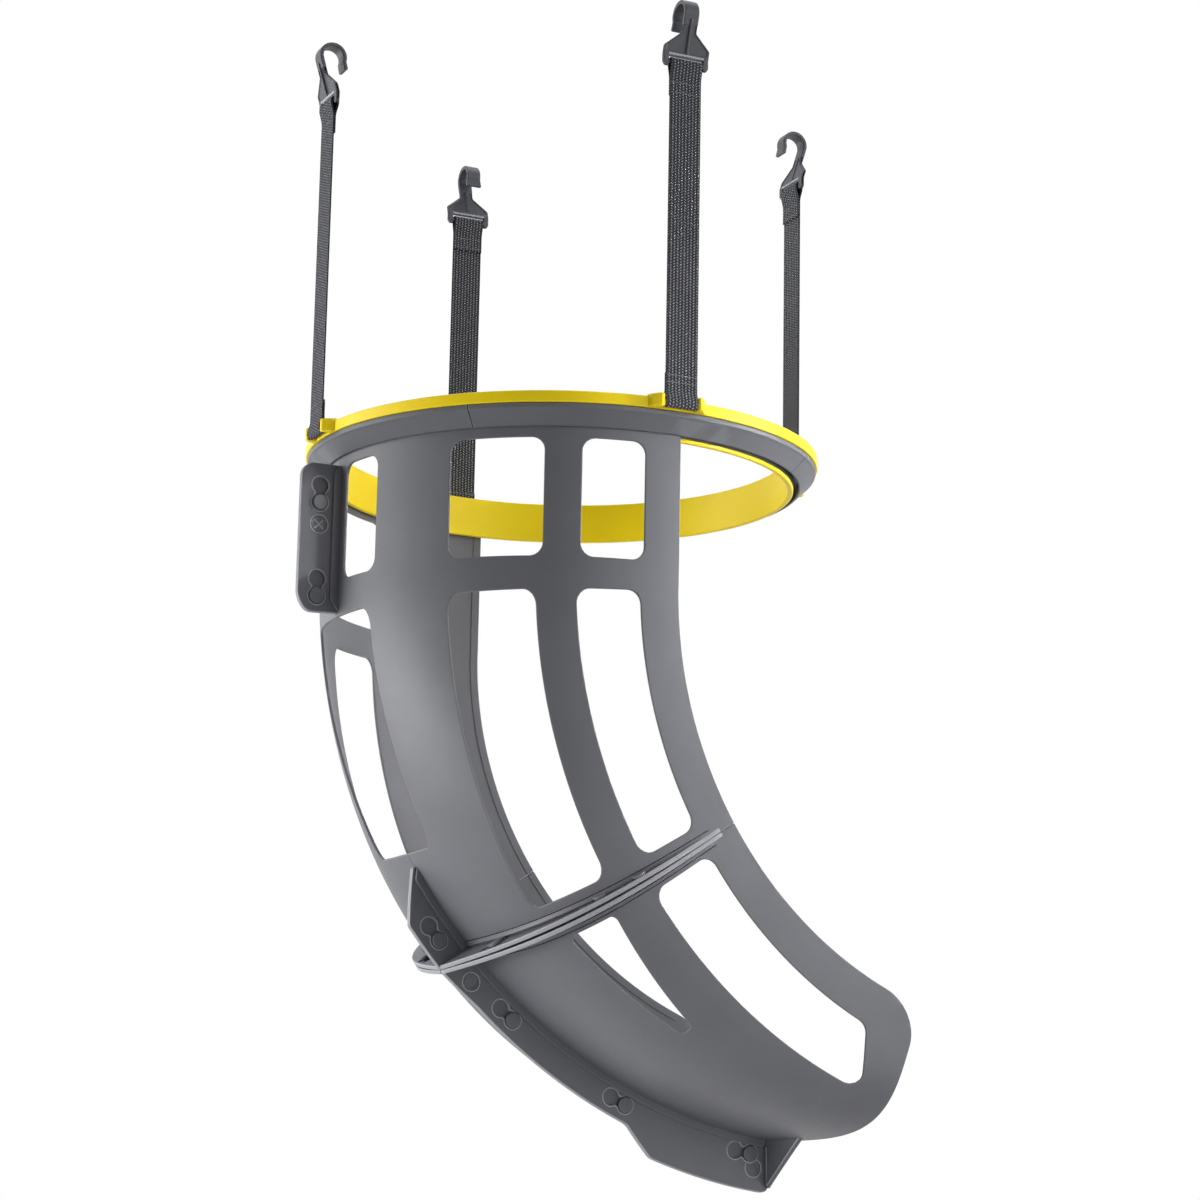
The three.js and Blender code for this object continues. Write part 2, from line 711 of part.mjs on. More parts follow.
// The part of a turned ring between two angles, a gap short of each
function ringSector(profile, from, to, gap) {
  const reach = flangeRadius + cutOverrun;
  const middle = (from + to) / 2;
  const half = (to - from) / 2;
  const trim = Math.asin(gap / reach);
  const loop = [new THREE.Vector2(gap / Math.sin(half), 0)];
  const steps = Math.max(2, Math.round(ringSteps * half / Math.PI));
  for (let k = 0; k <= steps; k += 1) {
    const angle = THREE.MathUtils.lerp(trim - half, half - trim, k / steps);
    loop.push(new THREE.Vector2(Math.cos(angle), Math.sin(angle)).multiplyScalar(reach));
  }
  const wedge = mappedPrism(loop, -reach, reach, (x, y, z) => (
    new THREE.Vector3(x, y, z).applyAxisAngle(zAxis, middle)
  ));
  return solidOf(turned(profile, ringSteps)).intersect(wedge);
}

// A strap seen from its edge, with x outwards and y up from the lower bar
function strapGeometry() {
  const inner = barRadius + loopGap;
  const outer = inner + webbing;
  const arc = (radius, from, to, centre) => Array.from({ length: loopSteps + 1 }, (_, k) => {
    const angle = THREE.MathUtils.lerp(from, to, k / loopSteps);
    return new THREE.Vector2(radius * Math.cos(angle), radius * Math.sin(angle) + centre);
  });
  const outline = [
    ...arc(outer, Math.PI, 2 * Math.PI, 0),
    new THREE.Vector2(webbing, loopLength),
    new THREE.Vector2(webbing, strapPitch - loopLength),
    ...arc(outer, 0, Math.PI, strapPitch),
    new THREE.Vector2(-webbing, strapPitch - loopLength + webbing),
    new THREE.Vector2(-webbing, strapPitch - loopLength - upperSeam),
    new THREE.Vector2(0, strapPitch - loopLength - upperSeam),
    new THREE.Vector2(0, lowerSeam),
    new THREE.Vector2(-webbing, lowerSeam),
    new THREE.Vector2(-webbing, loopLength - webbing),
  ];
  const lowerTip = new THREE.Vector2(0, loopLength - webbing);
  const upperTip = new THREE.Vector2(0, strapPitch - loopLength + webbing);
  const shape = new THREE.Shape(outline);
  shape.holes.push(new THREE.Path([...arc(inner, Math.PI, 2 * Math.PI, 0), lowerTip]));
  shape.holes.push(new THREE.Path([...arc(inner, 0, Math.PI, strapPitch), upperTip]));
  return extruded(shape, strapWidth).translate(0, 0, -strapWidth / 2).rotateX(Math.PI / 2);
}

// A hook from its bar's centre: its face outline and its edge outline, each as deep as the other is wide

function hookFace() {
  const slotHalf = strapWidth / 2 + hookSlotGap;
  const top = hookCentre + 2 * hookBore;
  const half = [
    [hookBaseHalf - hookBaseCorner, -hookBaseDrop], [hookBaseHalf, hookBaseCorner - hookBaseDrop],
    [hookBaseHalf, hookShoulder], [hookShankHalf, hookShankStart], [hookShankHalf, hookBandStart],
    [hookBandHalf, hookBandStart + hookBandHalf - hookShankHalf], [hookBandHalf, top],
  ];
  const slab = (left, right, base, rise) => [[left, base], [right, base], [right, rise], [left, rise]];
  const prism = (loop) => {
    const outline = loop.map((point) => new THREE.Vector2(...point));
    return solidOf(extruded(new THREE.Shape(outline), 2 * top).translate(0, 0, -top).rotateY(Math.PI / 2));
  };
  const body = prism([...half, ...half.map(([x, y]) => [-x, y]).reverse()]);
  const slot = prism(slab(-slotHalf, slotHalf, hookBar / 2, hookSlotRise));
  return cutBy(body, slot, prism(slab(-slotHalf, slotHalf, -hookBaseDrop - cutOverrun, -hookBar / 2)));
}

function hookEdge() {
  const grip = hookBore + hookThickness;
  const half = hookThickness / 2;
  const centre = new THREE.Vector2(0, hookCentre);
  const polar = (radius, angle) => new THREE.Vector2(radius, hookCentre).rotateAround(centre, angle);
  const arc = (radius, from, to) => Array.from({ length: hookSteps + 1 }, (_, k) => (
    polar(radius, THREE.MathUtils.lerp(from, to, k / hookSteps))
  ));
  const lean = new THREE.Vector2(-Math.sin(hookTipLean), -Math.cos(hookTipLean)).multiplyScalar(hookTip);
  const foot = new THREE.Vector2(half, hookSlotRise);
  const outline = [
    new THREE.Vector2(half, -hookBaseDrop), foot,
    ...arc(grip, hookStartAngle, hookEndAngle), polar(grip, hookEndAngle).add(lean),
    polar(hookBore, hookEndAngle).add(lean), ...arc(hookBore, hookEndAngle, hookStartAngle),
    new THREE.Vector2(-half, hookSlotRise), new THREE.Vector2(-half, -hookBaseDrop),
  ];
  const top = polar(grip, hookStartAngle);
  const out = top.clone().sub(foot).normalize().rotateAround(new THREE.Vector2(), -Math.PI / 2);
  const ribAt = (point, rise) => point.clone().addScaledVector(out, rise);
  const rib = [ribAt(foot, -half), ribAt(top, -half), ribAt(top, hookRibRise), ribAt(foot, hookRibRise)];
  const across = (loop, reach) => extruded(new THREE.Shape(loop), 2 * reach).translate(0, 0, -reach);
  return { edge: solidOf(across(outline, hookBaseHalf)), rib: solidOf(across(rib, hookRibHalf)) };
}

function hookGeometry() {
  const { edge, rib } = hookEdge();
  return geometryOf(joined(hookFace().intersect(edge), rib)).rotateX(Math.PI / 2);
}

// Materials

const yellowPlastic = new THREE.MeshStandardMaterial({ color: 0xf6d318, roughness: 0.45, metalness: 0 });
const greyPlastic = new THREE.MeshStandardMaterial({ color: 0x5d5e63, roughness: 0.55, metalness: 0 });
const darkPlastic = new THREE.MeshStandardMaterial({ color: 0x404147, roughness: 0.5, metalness: 0 });
const webbingCloth = new THREE.MeshStandardMaterial({ color: 0x4a4b50, roughness: 0.9, metalness: 0 });

// The assembly, built about the track ring and then hung by its hooks from the origin

const ballReturn = new THREE.Group();
ballReturn.position.z = -ringDrop;

function addPiece(name, geometry, material, parent = ballReturn) {
  const mesh = new THREE.Mesh(geometry, material);
  mesh.name = name;
  parent.add(mesh);
  return mesh;
}

addPiece('track_ring', geometryOf(trackRing()), yellowPlastic);

stations.forEach((name, k) => {
  const from = (k - 0.5) * stationAngle;
  const to = (k + 0.5) * stationAngle;
  addPiece(`swivel_segment_${name}`, geometryOf(ringSector(swivelProfile, from, to, halfGap)), greyPlastic);
  const joiner = ringSector(joinerProfile, to - joinerAngle, to + joinerAngle, 0);
  addPiece(`swivel_joiner_${k + 1}`, geometryOf(joiner), darkPlastic);
});

const shellSides = { left: 1, right: -1 };
Object.entries(shellSides).forEach(([name, side]) => {
  addPiece(`chute_upper_${name}`, geometryOf(upperShell(side)), greyPlastic);
  addPiece(`chute_lower_${name}`, geometryOf(lowerShell(side)), greyPlastic);
});

[...seamPins, ...keelPins].forEach(({ entry, axis }, k) => {
  const mesh = addPiece(`seam_rivet_${k + 1}`, turnedPin(rivetProfile), darkPlastic);
  mesh.position.copy(entry);
  mesh.quaternion.setFromUnitVectors(zAxis, axis);
});

stations.forEach((name, k) => {
  const station = new THREE.Group();
  station.rotation.z = k * stationAngle;
  ballReturn.add(station);
  addPiece(`strap_${name}`, strapGeometry(), webbingCloth, station).position.set(barDistance, 0, barRise);
  addPiece(`hook_${name}`, hookGeometry(), darkPlastic, station).position.set(barDistance, 0, hookBarRise);
});

export default ballReturn;
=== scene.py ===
import bpy
import bmesh
import math
import numpy as np
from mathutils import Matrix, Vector
from mathutils.geometry import delaunay_2d_cdt


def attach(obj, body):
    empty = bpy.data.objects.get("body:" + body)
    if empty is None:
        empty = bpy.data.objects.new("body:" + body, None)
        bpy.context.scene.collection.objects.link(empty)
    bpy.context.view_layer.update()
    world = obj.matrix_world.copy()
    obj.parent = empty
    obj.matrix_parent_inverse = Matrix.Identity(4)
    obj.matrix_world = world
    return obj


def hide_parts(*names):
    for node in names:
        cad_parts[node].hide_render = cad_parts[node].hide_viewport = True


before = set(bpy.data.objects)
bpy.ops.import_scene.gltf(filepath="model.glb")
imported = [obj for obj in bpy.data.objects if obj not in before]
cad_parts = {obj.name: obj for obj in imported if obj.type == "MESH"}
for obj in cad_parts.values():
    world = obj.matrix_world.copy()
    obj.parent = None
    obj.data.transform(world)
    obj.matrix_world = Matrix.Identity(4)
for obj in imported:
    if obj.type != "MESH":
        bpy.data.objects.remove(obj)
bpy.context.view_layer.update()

# Sizes in millimetres, with heights from the foot of the track ring's flange
MM = 0.001
RING_Z = -379.5
SEAM_GAP = 0.15
STATIONS = {"front": 0, "left": 90, "rear": 180, "right": 270}

# The chute's path and section
CHUTE, WALL = 231.0, 3.0
DROP, BEND = 153.0, 400.0
CHUTE_START = 8.5
MOUTH_TURN, JOINT_TURN = math.radians(72.2), math.radians(33.7)
JOINT = DROP + BEND * JOINT_TURN
MOUTH = DROP + BEND * MOUTH_TURN
MOUTH_HALF_WIDTH, MOUTH_DEPTH, DEPTH_EASE = 208.0, 114.0, 1.13
ROUND_POWER, MOUTH_POWER, POWER_EASE = 2.0, 4.5, 1.3
EDGE_ANGLE = math.radians(93.4)
EDGE = EDGE_ANGLE * CHUTE

# Flanges, studs and keyholes
PLATE, COLLAR_PLATE, COLLAR_LIFT = 3.0, 4.2, 0.9
COLLAR_HEIGHT, COLLAR_END, COLLAR_POWER = 36.0, math.radians(89), 1.4
FOOT = -1.5
STUD_HEAD, STUD_GAP, SPACING = 7.6, 0.5, 16.4
STUD_HOLE = STUD_HEAD + STUD_GAP

# Rings, straps and hooks
BORE, CHANNEL, RIM, SWIVEL_RIM = 221.0, 223.6, 250.0, 246.4
BAR_DISTANCE, BAR_RISE, BAR_RADIUS = 255.6, 4.5, 2.6
STRAP_PITCH, STRAP_WIDTH, WEBBING = 327.0, 32.5, 1.4
HOOK_CENTRE, HOOK_BORE, HOOK_THICK = 48.0, 10.0, 4.0

# Material slots of the shells (the wall, the flanges in a darker grey of painted shade, the rims in a lighter
# grey of painted highlight), and the slot of that painted highlight on the pieces with one lighter material
WALL_SLOT, FLANGE_SHADE_SLOT, RIM_HIGHLIGHT_SLOT = 0, 1, 2
HIGHLIGHT_SLOT = 1


# Meshes

# Steps between the points of an outline, and distances that count as none
FINE, COARSE, WEAVE_STEP = 4.0, 6.0, 5.0
TINY, MERGED = 1e-4, 1e-5

# Limits of a rounded corner: share of a side, half angle that counts as straight, and least miter
HALF_SIDE, STRAIGHT, SHARPEST = 0.49, 1.56, 0.5

# Rings of a rim, share of a cell kept clear of it, degrees to a turned end's extra ring, and a band's ends
RIM_STEPS, GRID_CLEARANCE = 3, 0.6
END_RING = 0.1
BLUNT, THINNEST = 0.02, 0.25

# Centimetres in a millimetre, for the weave
WEAVE_SCALE = 0.1


def lerp(a, b, share):
    return a + (b - a) * share


def turning(degrees):
    """The matrix that turns points about Z"""
    a = math.radians(degrees)
    return np.array([[math.cos(a), -math.sin(a), 0], [math.sin(a), math.cos(a), 0], [0, 0, 1]])


class Form:
    """Closed meshes that are put together into one object"""

    def __init__(self):
        self.verts, self.faces, self.slots, self.uvs = [], [], [], {}

    def add(self, verts, faces, slot=0, uvs=()):
        base = len(self.verts)
        self.uvs.update({base + i: uv for i, uv in enumerate(uvs)})
        self.extend(verts, faces, 0, slot)

    def extend(self, verts, faces, joined, slot):
        """More vertices and faces, with face numbers that count from the last `joined` vertices"""
        base = len(self.verts) - joined
        self.verts += [tuple(v) for v in verts]
        self.faces += [tuple(base + i for i in f) for f in faces]
        self.slots += [slot] * len(faces)

    def build(self, name, materials, body, *nodes, turn=0.0, offset=(0, 0, 0)):
        mesh = bpy.data.meshes.new(name)
        points = (np.array(self.verts) + offset) @ turning(turn).T + (0, 0, RING_Z)
        mesh.from_pydata((points * MM).tolist(), [], self.faces)
        mesh.polygons.foreach_set("material_index", self.slots)
        if self.uvs:
            layer = mesh.uv_layers.new(name="weave")
            for loop in mesh.loops:
                layer.data[loop.index].uv = self.uvs.get(loop.vertex_index, (0, 0))
        work = bmesh.new()
        work.from_mesh(mesh)
        bmesh.ops.recalc_face_normals(work, faces=work.faces)
        work.to_mesh(mesh)
        work.free()
        mesh.polygons.foreach_set("use_smooth", [True] * len(mesh.polygons))
        for material in materials:
            mesh.materials.append(material)
        piece = bpy.data.objects.new(name, mesh)
        bpy.context.scene.collection.objects.link(piece)
        normals = piece.modifiers.new("weighted", "WEIGHTED_NORMAL")
        normals.weight = 100
        normals.keep_sharp = True
        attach(piece, body)
        for node in nodes:
            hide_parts(node)
        return piece


def area(loop):
    p = np.asarray(loop)
    q = np.roll(p, -1, axis=0)
    return (p[:, 0] * q[:, 1] - q[:, 0] * p[:, 1]).sum() / 2


def wound(loop, sign):
    return loop if area(loop) * sign > 0 else loop[::-1]


def inset(loop, amount):
    """An outline moved to its left, by less where a corner is very sharp"""
    p = np.asarray(loop, float)
    before, after = p - np.roll(p, 1, axis=0), np.roll(p, -1, axis=0) - p
    left = [np.stack([-d[:, 1], d[:, 0]], 1) / np.linalg.norm(d, axis=1)[:, None] for d in (before, after)]
    miter = left[0] + left[1]
    return p + miter * amount / np.maximum((miter ** 2).sum(1, keepdims=True) / 2, SHARPEST)


def inside(points, loops):
    hit = np.zeros(len(points), bool)
    for loop in loops:
        p = np.asarray(loop)
        for (x0, y0), (x1, y1) in zip(p, np.roll(p, -1, axis=0)):
            if y0 != y1:
                crossed = (y0 > points[:, 1]) != (y1 > points[:, 1])
                hit ^= crossed & (points[:, 0] < x0 + (points[:, 1] - y0) * (x1 - x0) / (y1 - y0))
    return hit


def rounded(corners, steps=5):
    """An outline whose corners, given as (x, y, radius), are rounded as far as their sides allow"""
    out = []
    count = len(corners)
    for i, (x, y, radius) in enumerate(corners):
        c = np.array([x, y], float)
        before = np.array(corners[i - 1][:2]) - c
        after = np.array(corners[(i + 1) % count][:2]) - c
        a, b = np.linalg.norm(before), np.linalg.norm(after)
        before, after = before / a, after / b
        half = math.acos(max(-1, min(1, float(before @ after)))) / 2
        if radius <= 0 or half > STRAIGHT:
            out.append(c)
            continue
        reach = min(radius / math.tan(half), HALF_SIDE * a, HALF_SIDE * b)
        radius = reach * math.tan(half)
        centre = c + (before + after) / np.linalg.norm(before + after) * radius / math.sin(half)
        s, e = c + before * reach - centre, c + after * reach - centre
        for k in range(steps + 1):
            v = s * (1 - k / steps) + e * (k / steps)
            out.append(centre + v / np.linalg.norm(v) * radius)
    return out


def divided(loop, step):
    """An outline with more points, no further apart than a step"""
    out = []
    for p, q in zip(loop, loop[1:] + loop[:1]):
        p, q = np.asarray(p, float), np.asarray(q, float)
        count = max(1, int(np.ceil(np.linalg.norm(q - p) / step)))
        out += [lerp(p, q, k / count) for k in range(count)]
    return out


def tidy(loop):
    """An outline without repeated points"""
    return [p for i, p in enumerate(loop) if np.linalg.norm(np.asarray(p) - np.asarray(loop[i - 1])) > TINY]


def circle(centre, radius, steps=32):
    turns = [2 * math.pi * k / steps for k in range(steps)]
    return [np.array([centre[0] + radius * math.cos(t), centre[1] + radius * math.sin(t)]) for t in turns]


def panel(form, outer, holes, place, thickness, edge, cell=0.0, slot=0, rim_highlight_slot=None):
    """A plate over a flat outline, with rounded rims, moved into space by place(x, y, depth)"""
    loops = [np.array(wound(tidy(outer), 1))] + [np.array(wound(tidy(h), -1)) for h in holes]
    edge = min(edge, HALF_SIDE * thickness)
    flats = [inset(loop, edge) for loop in loops]
    points = [p for loop in flats for p in loop]
    edges, base = [], 0
    for loop in flats:
        edges += [(base + i, base + (i + 1) % len(loop)) for i in range(len(loop))]
        base += len(loop)
    if cell:
        low, high = flats[0].min(0), flats[0].max(0)
        xs = np.arange(low[0] + cell / 2, high[0], cell)
        ys = np.arange(low[1] + cell / 2, high[1], cell)
        grid = np.array([(x + cell / 2 * (j % 2), y) for j, y in enumerate(ys) for x in xs])
        grid = grid[inside(grid, flats)]
        rims = np.array(points)
        near = np.array([np.min(((rims - g) ** 2).sum(1)) for g in grid])
        points += list(grid[near > (GRID_CLEARANCE * cell) ** 2])
    flat, _, tris, origin, _, _ = delaunay_2d_cdt([Vector(p) for p in points], edges, [], 0, MERGED)
    where = {i: k for k, group in enumerate(origin) for i in group}
    flat = np.array([tuple(p) for p in flat])
    centres = np.array([flat[list(t)].mean(0) for t in tris])
    tris = [t for t, ok in zip(tris, inside(centres, flats)) if ok]
    verts = [place(x, y, 0) for x, y in flat] + [place(x, y, -thickness) for x, y in flat]
    count = len(flat)
    faces = [tuple(t) for t in tris] + [tuple(count + i for i in t[::-1]) for t in tris]
    form.add(verts, faces, slot)

    # Rim of each outline, joined to the vertices above
    turns = [math.pi / 2 * k / RIM_STEPS for k in range(1, RIM_STEPS + 1)]
    rings = [(edge * (1 - math.sin(t)), -edge * (1 - math.cos(t))) for t in turns]
    rings += [(a, -thickness - d) for a, d in reversed(rings)]
    joined = len(verts)
    faces, base = [], 0
    for loop in loops:
        size = len(loop)
        rows = [[where[base + i] for i in range(size)]]
        for amount, depth in rings:
            rows.append(list(range(len(verts), len(verts) + size)))
            verts += [place(x, y, depth) for x, y in inset(loop, amount)]
        rows.append([count + where[base + i] for i in range(size)])
        for upper, lower in zip(rows, rows[1:]):
            faces += [(upper[i], upper[(i + 1) % size], lower[(i + 1) % size], lower[i]) for i in range(size)]
        base += size
    form.extend(verts[joined:], faces, joined, slot if rim_highlight_slot is None else rim_highlight_slot)


def turned(form, profile, steps, start=0.0, end=360.0, place=None, slot=0):
    """A profile of (radius, height) turned about Z, whole or between two angles in degrees"""
    whole = abs(end - start - 360) < TINY
    turns = [lerp(start, end, k / steps) for k in range(steps if whole else steps + 1)]
    if not whole:
        turns = turns[:1] + [start + END_RING] + turns[1:-1] + [end - END_RING] + turns[-1:]
        steps += 2
    count = len(turns)
    capped = abs(profile[0][0]) < TINY
    profile = profile[1:-1] if capped else profile
    size = len(profile)
    verts = []
    for turn in turns:
        a = math.radians(turn)
        verts += [np.array([r * math.cos(a), r * math.sin(a), z]) for r, z in profile]
    if place:
        verts = [place(v) for v in verts]
    faces = []
    for k in range(steps):
        a, b = k * size, ((k + 1) % count) * size
        faces += [(a + i, a + (i + 1) % size, b + (i + 1) % size, b + i) for i in range(size - capped)]
    if capped:
        faces += [tuple(k * size + last for k in range(count)) for last in (0, size - 1)]
    if not whole:
        faces += [tuple(range(size)), tuple(range((count - 1) * size, count * size))[::-1]]
    form.add(verts, faces, slot)


def tube_faces(count, size):
    """The faces of a closed tube of `count` rings with `size` points each"""
    faces = []
    for k in range(count - 1):
        a, b = k * size, (k + 1) * size
        faces += [(a + i, a + (i + 1) % size, b + (i + 1) % size, b + i) for i in range(size)]
    last = (count - 1) * size
    return faces + [tuple(range(size)), tuple(range(last, last + size))[::-1]]


def band(form, route, half_width, half_thick, corner, weave=False, ends=True):
    """A band with rounded edges along a route in the XZ plane, as wide in Y as half_width(share) says"""
    p = np.array(route, float)
    step = np.linalg.norm(np.diff(p, axis=0), axis=1)
    run = np.concatenate([[0], np.cumsum(step)])
    tangent = np.gradient(p, axis=0)
    tangent /= np.linalg.norm(tangent, axis=1)[:, None]
    normal = np.stack([-tangent[:, 1], tangent[:, 0]], 1)
    verts, uvs = [], []
    for point, out, along in zip(p, normal, run):
        fade = min(along, run[-1] - along) / corner if ends else 1
        shrink = math.sqrt(max(BLUNT, 1 - (1 - min(1, fade)) ** 2))
        t = half_thick * max(shrink, THINNEST)
        w = half_width(along / run[-1]) - corner * (1 - shrink)
        ring = rounded([(-w, -t, corner), (w, -t, corner), (w, t, corner), (-w, t, corner)], 3)
        ring = divided(ring, WEAVE_STEP) if weave else ring
        verts += [np.array([point[0] + out[0] * v, u, point[1] + out[1] * v]) for u, v in ring]
        uvs += [(u * WEAVE_SCALE, along * WEAVE_SCALE) for u, v in ring]
    form.add(verts, tube_faces(len(p), len(ring)), uvs=uvs if weave else ())
    return run[-1]


# Materials

# Noise: scales, the spans that a ramp covers, and depths in metres
CLOUD, GRIT, FLOW, FUZZ = 11.0, 1600.0, 160.0, 400.0
NOISE, SPECKS, EDGES = (0.3, 0.7), (0.35, 0.75), (0.515, 0.6)
GRIT_DEPTH, WEAVE_DEPTH = 0.00012, 0.0003

# How far specks, paler edges (rubbed wear and painted highlight) and flow marks change the plastic
SPECK_SHARE, PALER, PALE_LIFT = 0.35, 1.6, 0.03
SMOOTHER, ROUGHER = 0.015, 0.03

# Weave in centimetres: width of a pick, spacing of the rows, rise of their zigzag, and the plain border
PICK, ROW, ZIGZAG = 0.34, 0.27, 0.7
BORDER, BORDER_SHARE = (1.46, 1.58), 0.75
PICKS_SHOW, PICK_SHARE = (1.2, 3.6), 0.9
CLOTH_SHADE = 0.55


def node(tree, kind, **inputs):
    item = tree.nodes.new(kind)
    for key, value in inputs.items():
        item.inputs[key.replace("_", " ")].default_value = value
    return item


def ramp(tree, source, span, low, high):
    item = node(tree, "ShaderNodeMapRange", From_Min=span[0], From_Max=span[1], To_Min=low, To_Max=high)
    tree.links.new(source, item.inputs["Value"])
    return item.outputs["Result"]


def blend(tree, share, a, b):
    item = tree.nodes.new("ShaderNodeMix")
    item.data_type = "RGBA"
    tree.links.new(share, item.inputs["Factor"])
    for socket, value in ((item.inputs["A"], a), (item.inputs["B"], b)):
        if isinstance(value, tuple):
            socket.default_value = (*value, 1)
        else:
            tree.links.new(value, socket)
    return item.outputs["Result"]


def linear(code):
    """The linear colour of an sRGB code"""
    parts = [int(code[i:i + 2], 16) / 255 for i in (0, 2, 4)]
    return tuple(((v + 0.055) / 1.055) ** 2.4 if v > 0.04045 else v / 12.92 for v in parts)


def new_material(name):
    material = bpy.data.materials.new(name)
    material.use_nodes = True
    tree = material.node_tree
    return material, tree, tree.nodes["Principled BSDF"]


def bump_from(tree, shader, height, strength, distance):
    bump = node(tree, "ShaderNodeBump", Strength=strength, Distance=distance)
    tree.links.new(height, bump.inputs["Height"])
    tree.links.new(bump.outputs["Normal"], shader.inputs["Normal"])


def plastic(name, code, rough, shade, grain, wear_and_highlight, sheen=0.35):
    """Moulded plastic: cloudy tone, fine grain, flow marks, and sharp edges paler as rubbed wear and painted
    highlight
    """
    material, tree, shader = new_material(name)
    place = tree.nodes.new("ShaderNodeTexCoord").outputs["Object"]
    cloud = node(tree, "ShaderNodeTexNoise", Scale=CLOUD, Detail=4.0, Roughness=0.55)
    grit = node(tree, "ShaderNodeTexNoise", Scale=GRIT, Detail=2.0, Roughness=0.6)
    flow = node(tree, "ShaderNodeTexNoise", Scale=FLOW, Detail=3.0, Roughness=0.5)
    for item in (cloud, grit, flow):
        tree.links.new(place, item.inputs["Vector"])
    base = linear(code)
    dark = tuple(v * (1 - shade) for v in base)
    light = tuple(min(1, v * (1 + shade)) for v in base)
    pale = tuple(min(1, v * PALER + PALE_LIFT) for v in base)
    tone = blend(tree, ramp(tree, cloud.outputs["Fac"], NOISE, 0, 1), dark, light)
    speck = blend(tree, ramp(tree, grit.outputs["Fac"], SPECKS, 0, SPECK_SHARE), tone, light)
    # Sharp edges turn paler: partly rubbed wear, partly painted highlight
    edge = ramp(tree, tree.nodes.new("ShaderNodeNewGeometry").outputs["Pointiness"], EDGES, 0, wear_and_highlight)
    tree.links.new(blend(tree, edge, speck, pale), shader.inputs["Base Color"])
    roughness = ramp(tree, flow.outputs["Fac"], NOISE, rough - SMOOTHER, rough + ROUGHER)
    tree.links.new(roughness, shader.inputs["Roughness"])
    bump_from(tree, shader, grit.outputs["Fac"], grain, GRIT_DEPTH)
    shader.inputs["Specular IOR Level"].default_value = sheen
    return material


def webbing(name, code, spots):
    """Woven webbing: rows of light picks in a zigzag between darker edges"""
    material, tree, shader = new_material(name)
    split = tree.nodes.new("ShaderNodeSeparateXYZ")
    uv = tree.nodes.new("ShaderNodeUVMap")
    uv.uv_map = "weave"
    tree.links.new(uv.outputs["UV"], split.inputs[0])

    def sums(kind, *values):
        item = tree.nodes.new("ShaderNodeMath")
        item.operation = kind
        for socket, value in zip(item.inputs, values):
            if isinstance(value, float):
                socket.default_value = value
            else:
                tree.links.new(value, socket)
        return item.outputs[0]

    across, along = split.outputs["X"], split.outputs["Y"]
    rise = sums("MULTIPLY", sums("PINGPONG", across, PICK), ZIGZAG)
    rows = sums("SINE", sums("MULTIPLY", sums("ADD", along, rise), 2 * math.pi / ROW))
    picks = sums("SINE", sums("MULTIPLY", across, 2 * math.pi / PICK))
    dots = sums("MULTIPLY", sums("ADD", rows, 1.0), sums("ADD", picks, 1.0))
    noise = node(tree, "ShaderNodeTexNoise", Scale=FUZZ, Detail=3.0, Roughness=0.6)
    tree.links.new(tree.nodes.new("ShaderNodeTexCoord").outputs["Object"], noise.inputs["Vector"])
    base = linear(code)
    dark = tuple(v * CLOTH_SHADE for v in base)
    cloth = blend(tree, ramp(tree, noise.outputs["Fac"], NOISE, 0, 1), dark, base)
    woven = blend(tree, ramp(tree, dots, PICKS_SHOW, 0, PICK_SHARE), cloth, linear(spots))
    border = ramp(tree, sums("ABSOLUTE", across), BORDER, 0, BORDER_SHARE)
    tree.links.new(blend(tree, border, woven, dark), shader.inputs["Base Color"])
    shader.inputs["Roughness"].default_value = 0.85
    shader.inputs["Specular IOR Level"].default_value = 0.2
    bump_from(tree, shader, sums("ADD", dots, noise.outputs["Fac"]), 0.6, WEAVE_DEPTH)
    return material


YELLOW = plastic("track_yellow", "ffdf14", 0.42, shade=0.04, grain=0.12, wear_and_highlight=0.08, sheen=0.25)
GREY = plastic("chute_grey", "5f6065", 0.46, shade=0.08, grain=0.3, wear_and_highlight=0.35)
# A darker copy of the wall's grey: painted shade on the flanges, fillets, ribs and studs
FLANGE_SHADED_GREY = plastic("flange_grey_painted_shade", "5b5c62", 0.44, shade=0.1, grain=0.3, wear_and_highlight=0.6)
# A lighter copy of the grey: painted highlight on rims, raised rings, the rivet cross and the hook's slot bar
HIGHLIGHT_GREY = plastic("painted_highlight_grey", "8f9095", 0.42, shade=0.08, grain=0.25, wear_and_highlight=0.6)
DARK = plastic("hook_dark", "404147", 0.4, shade=0.08, grain=0.25, wear_and_highlight=0.8)
PIN = plastic("rivet_grey", "626368", 0.48, shade=0.14, grain=0.3, wear_and_highlight=0.4)
CLOTH = webbing("webbing_cloth", "3a3b40", "aaabb0")
THREAD = plastic("stitch_thread", "7a7b80", 0.7, shade=0.15, grain=0.5, wear_and_highlight=0.2)


# The chute's path and section

def turn_at(path):
    return max(0.0, path - DROP) / BEND


def axis_at(path):
    t = turn_at(path)
    return np.array([BEND * (1 - math.cos(t)), 0, -min(path, DROP) - BEND * math.sin(t)])


def along_at(path):
    t = turn_at(path)
    return np.array([math.sin(t), 0, -math.cos(t)])


def back_at(path):
    t = turn_at(path)
    return np.array([-math.cos(t), 0, -math.sin(t)])


def section(path, angle):
    """The wall's outer radius at an angle from the spine: a circle that flattens towards the mouth"""
    share = turn_at(path) / MOUTH_TURN
    half_width = lerp(CHUTE, MOUTH_HALF_WIDTH, share)
    depth = lerp(CHUTE, MOUTH_DEPTH, share ** DEPTH_EASE)
    power = lerp(ROUND_POWER, MOUTH_POWER, share ** POWER_EASE)
    across, down = abs(math.sin(angle)) / half_width, abs(math.cos(angle)) / depth
    return (across ** power + down ** power) ** (-1 / power)


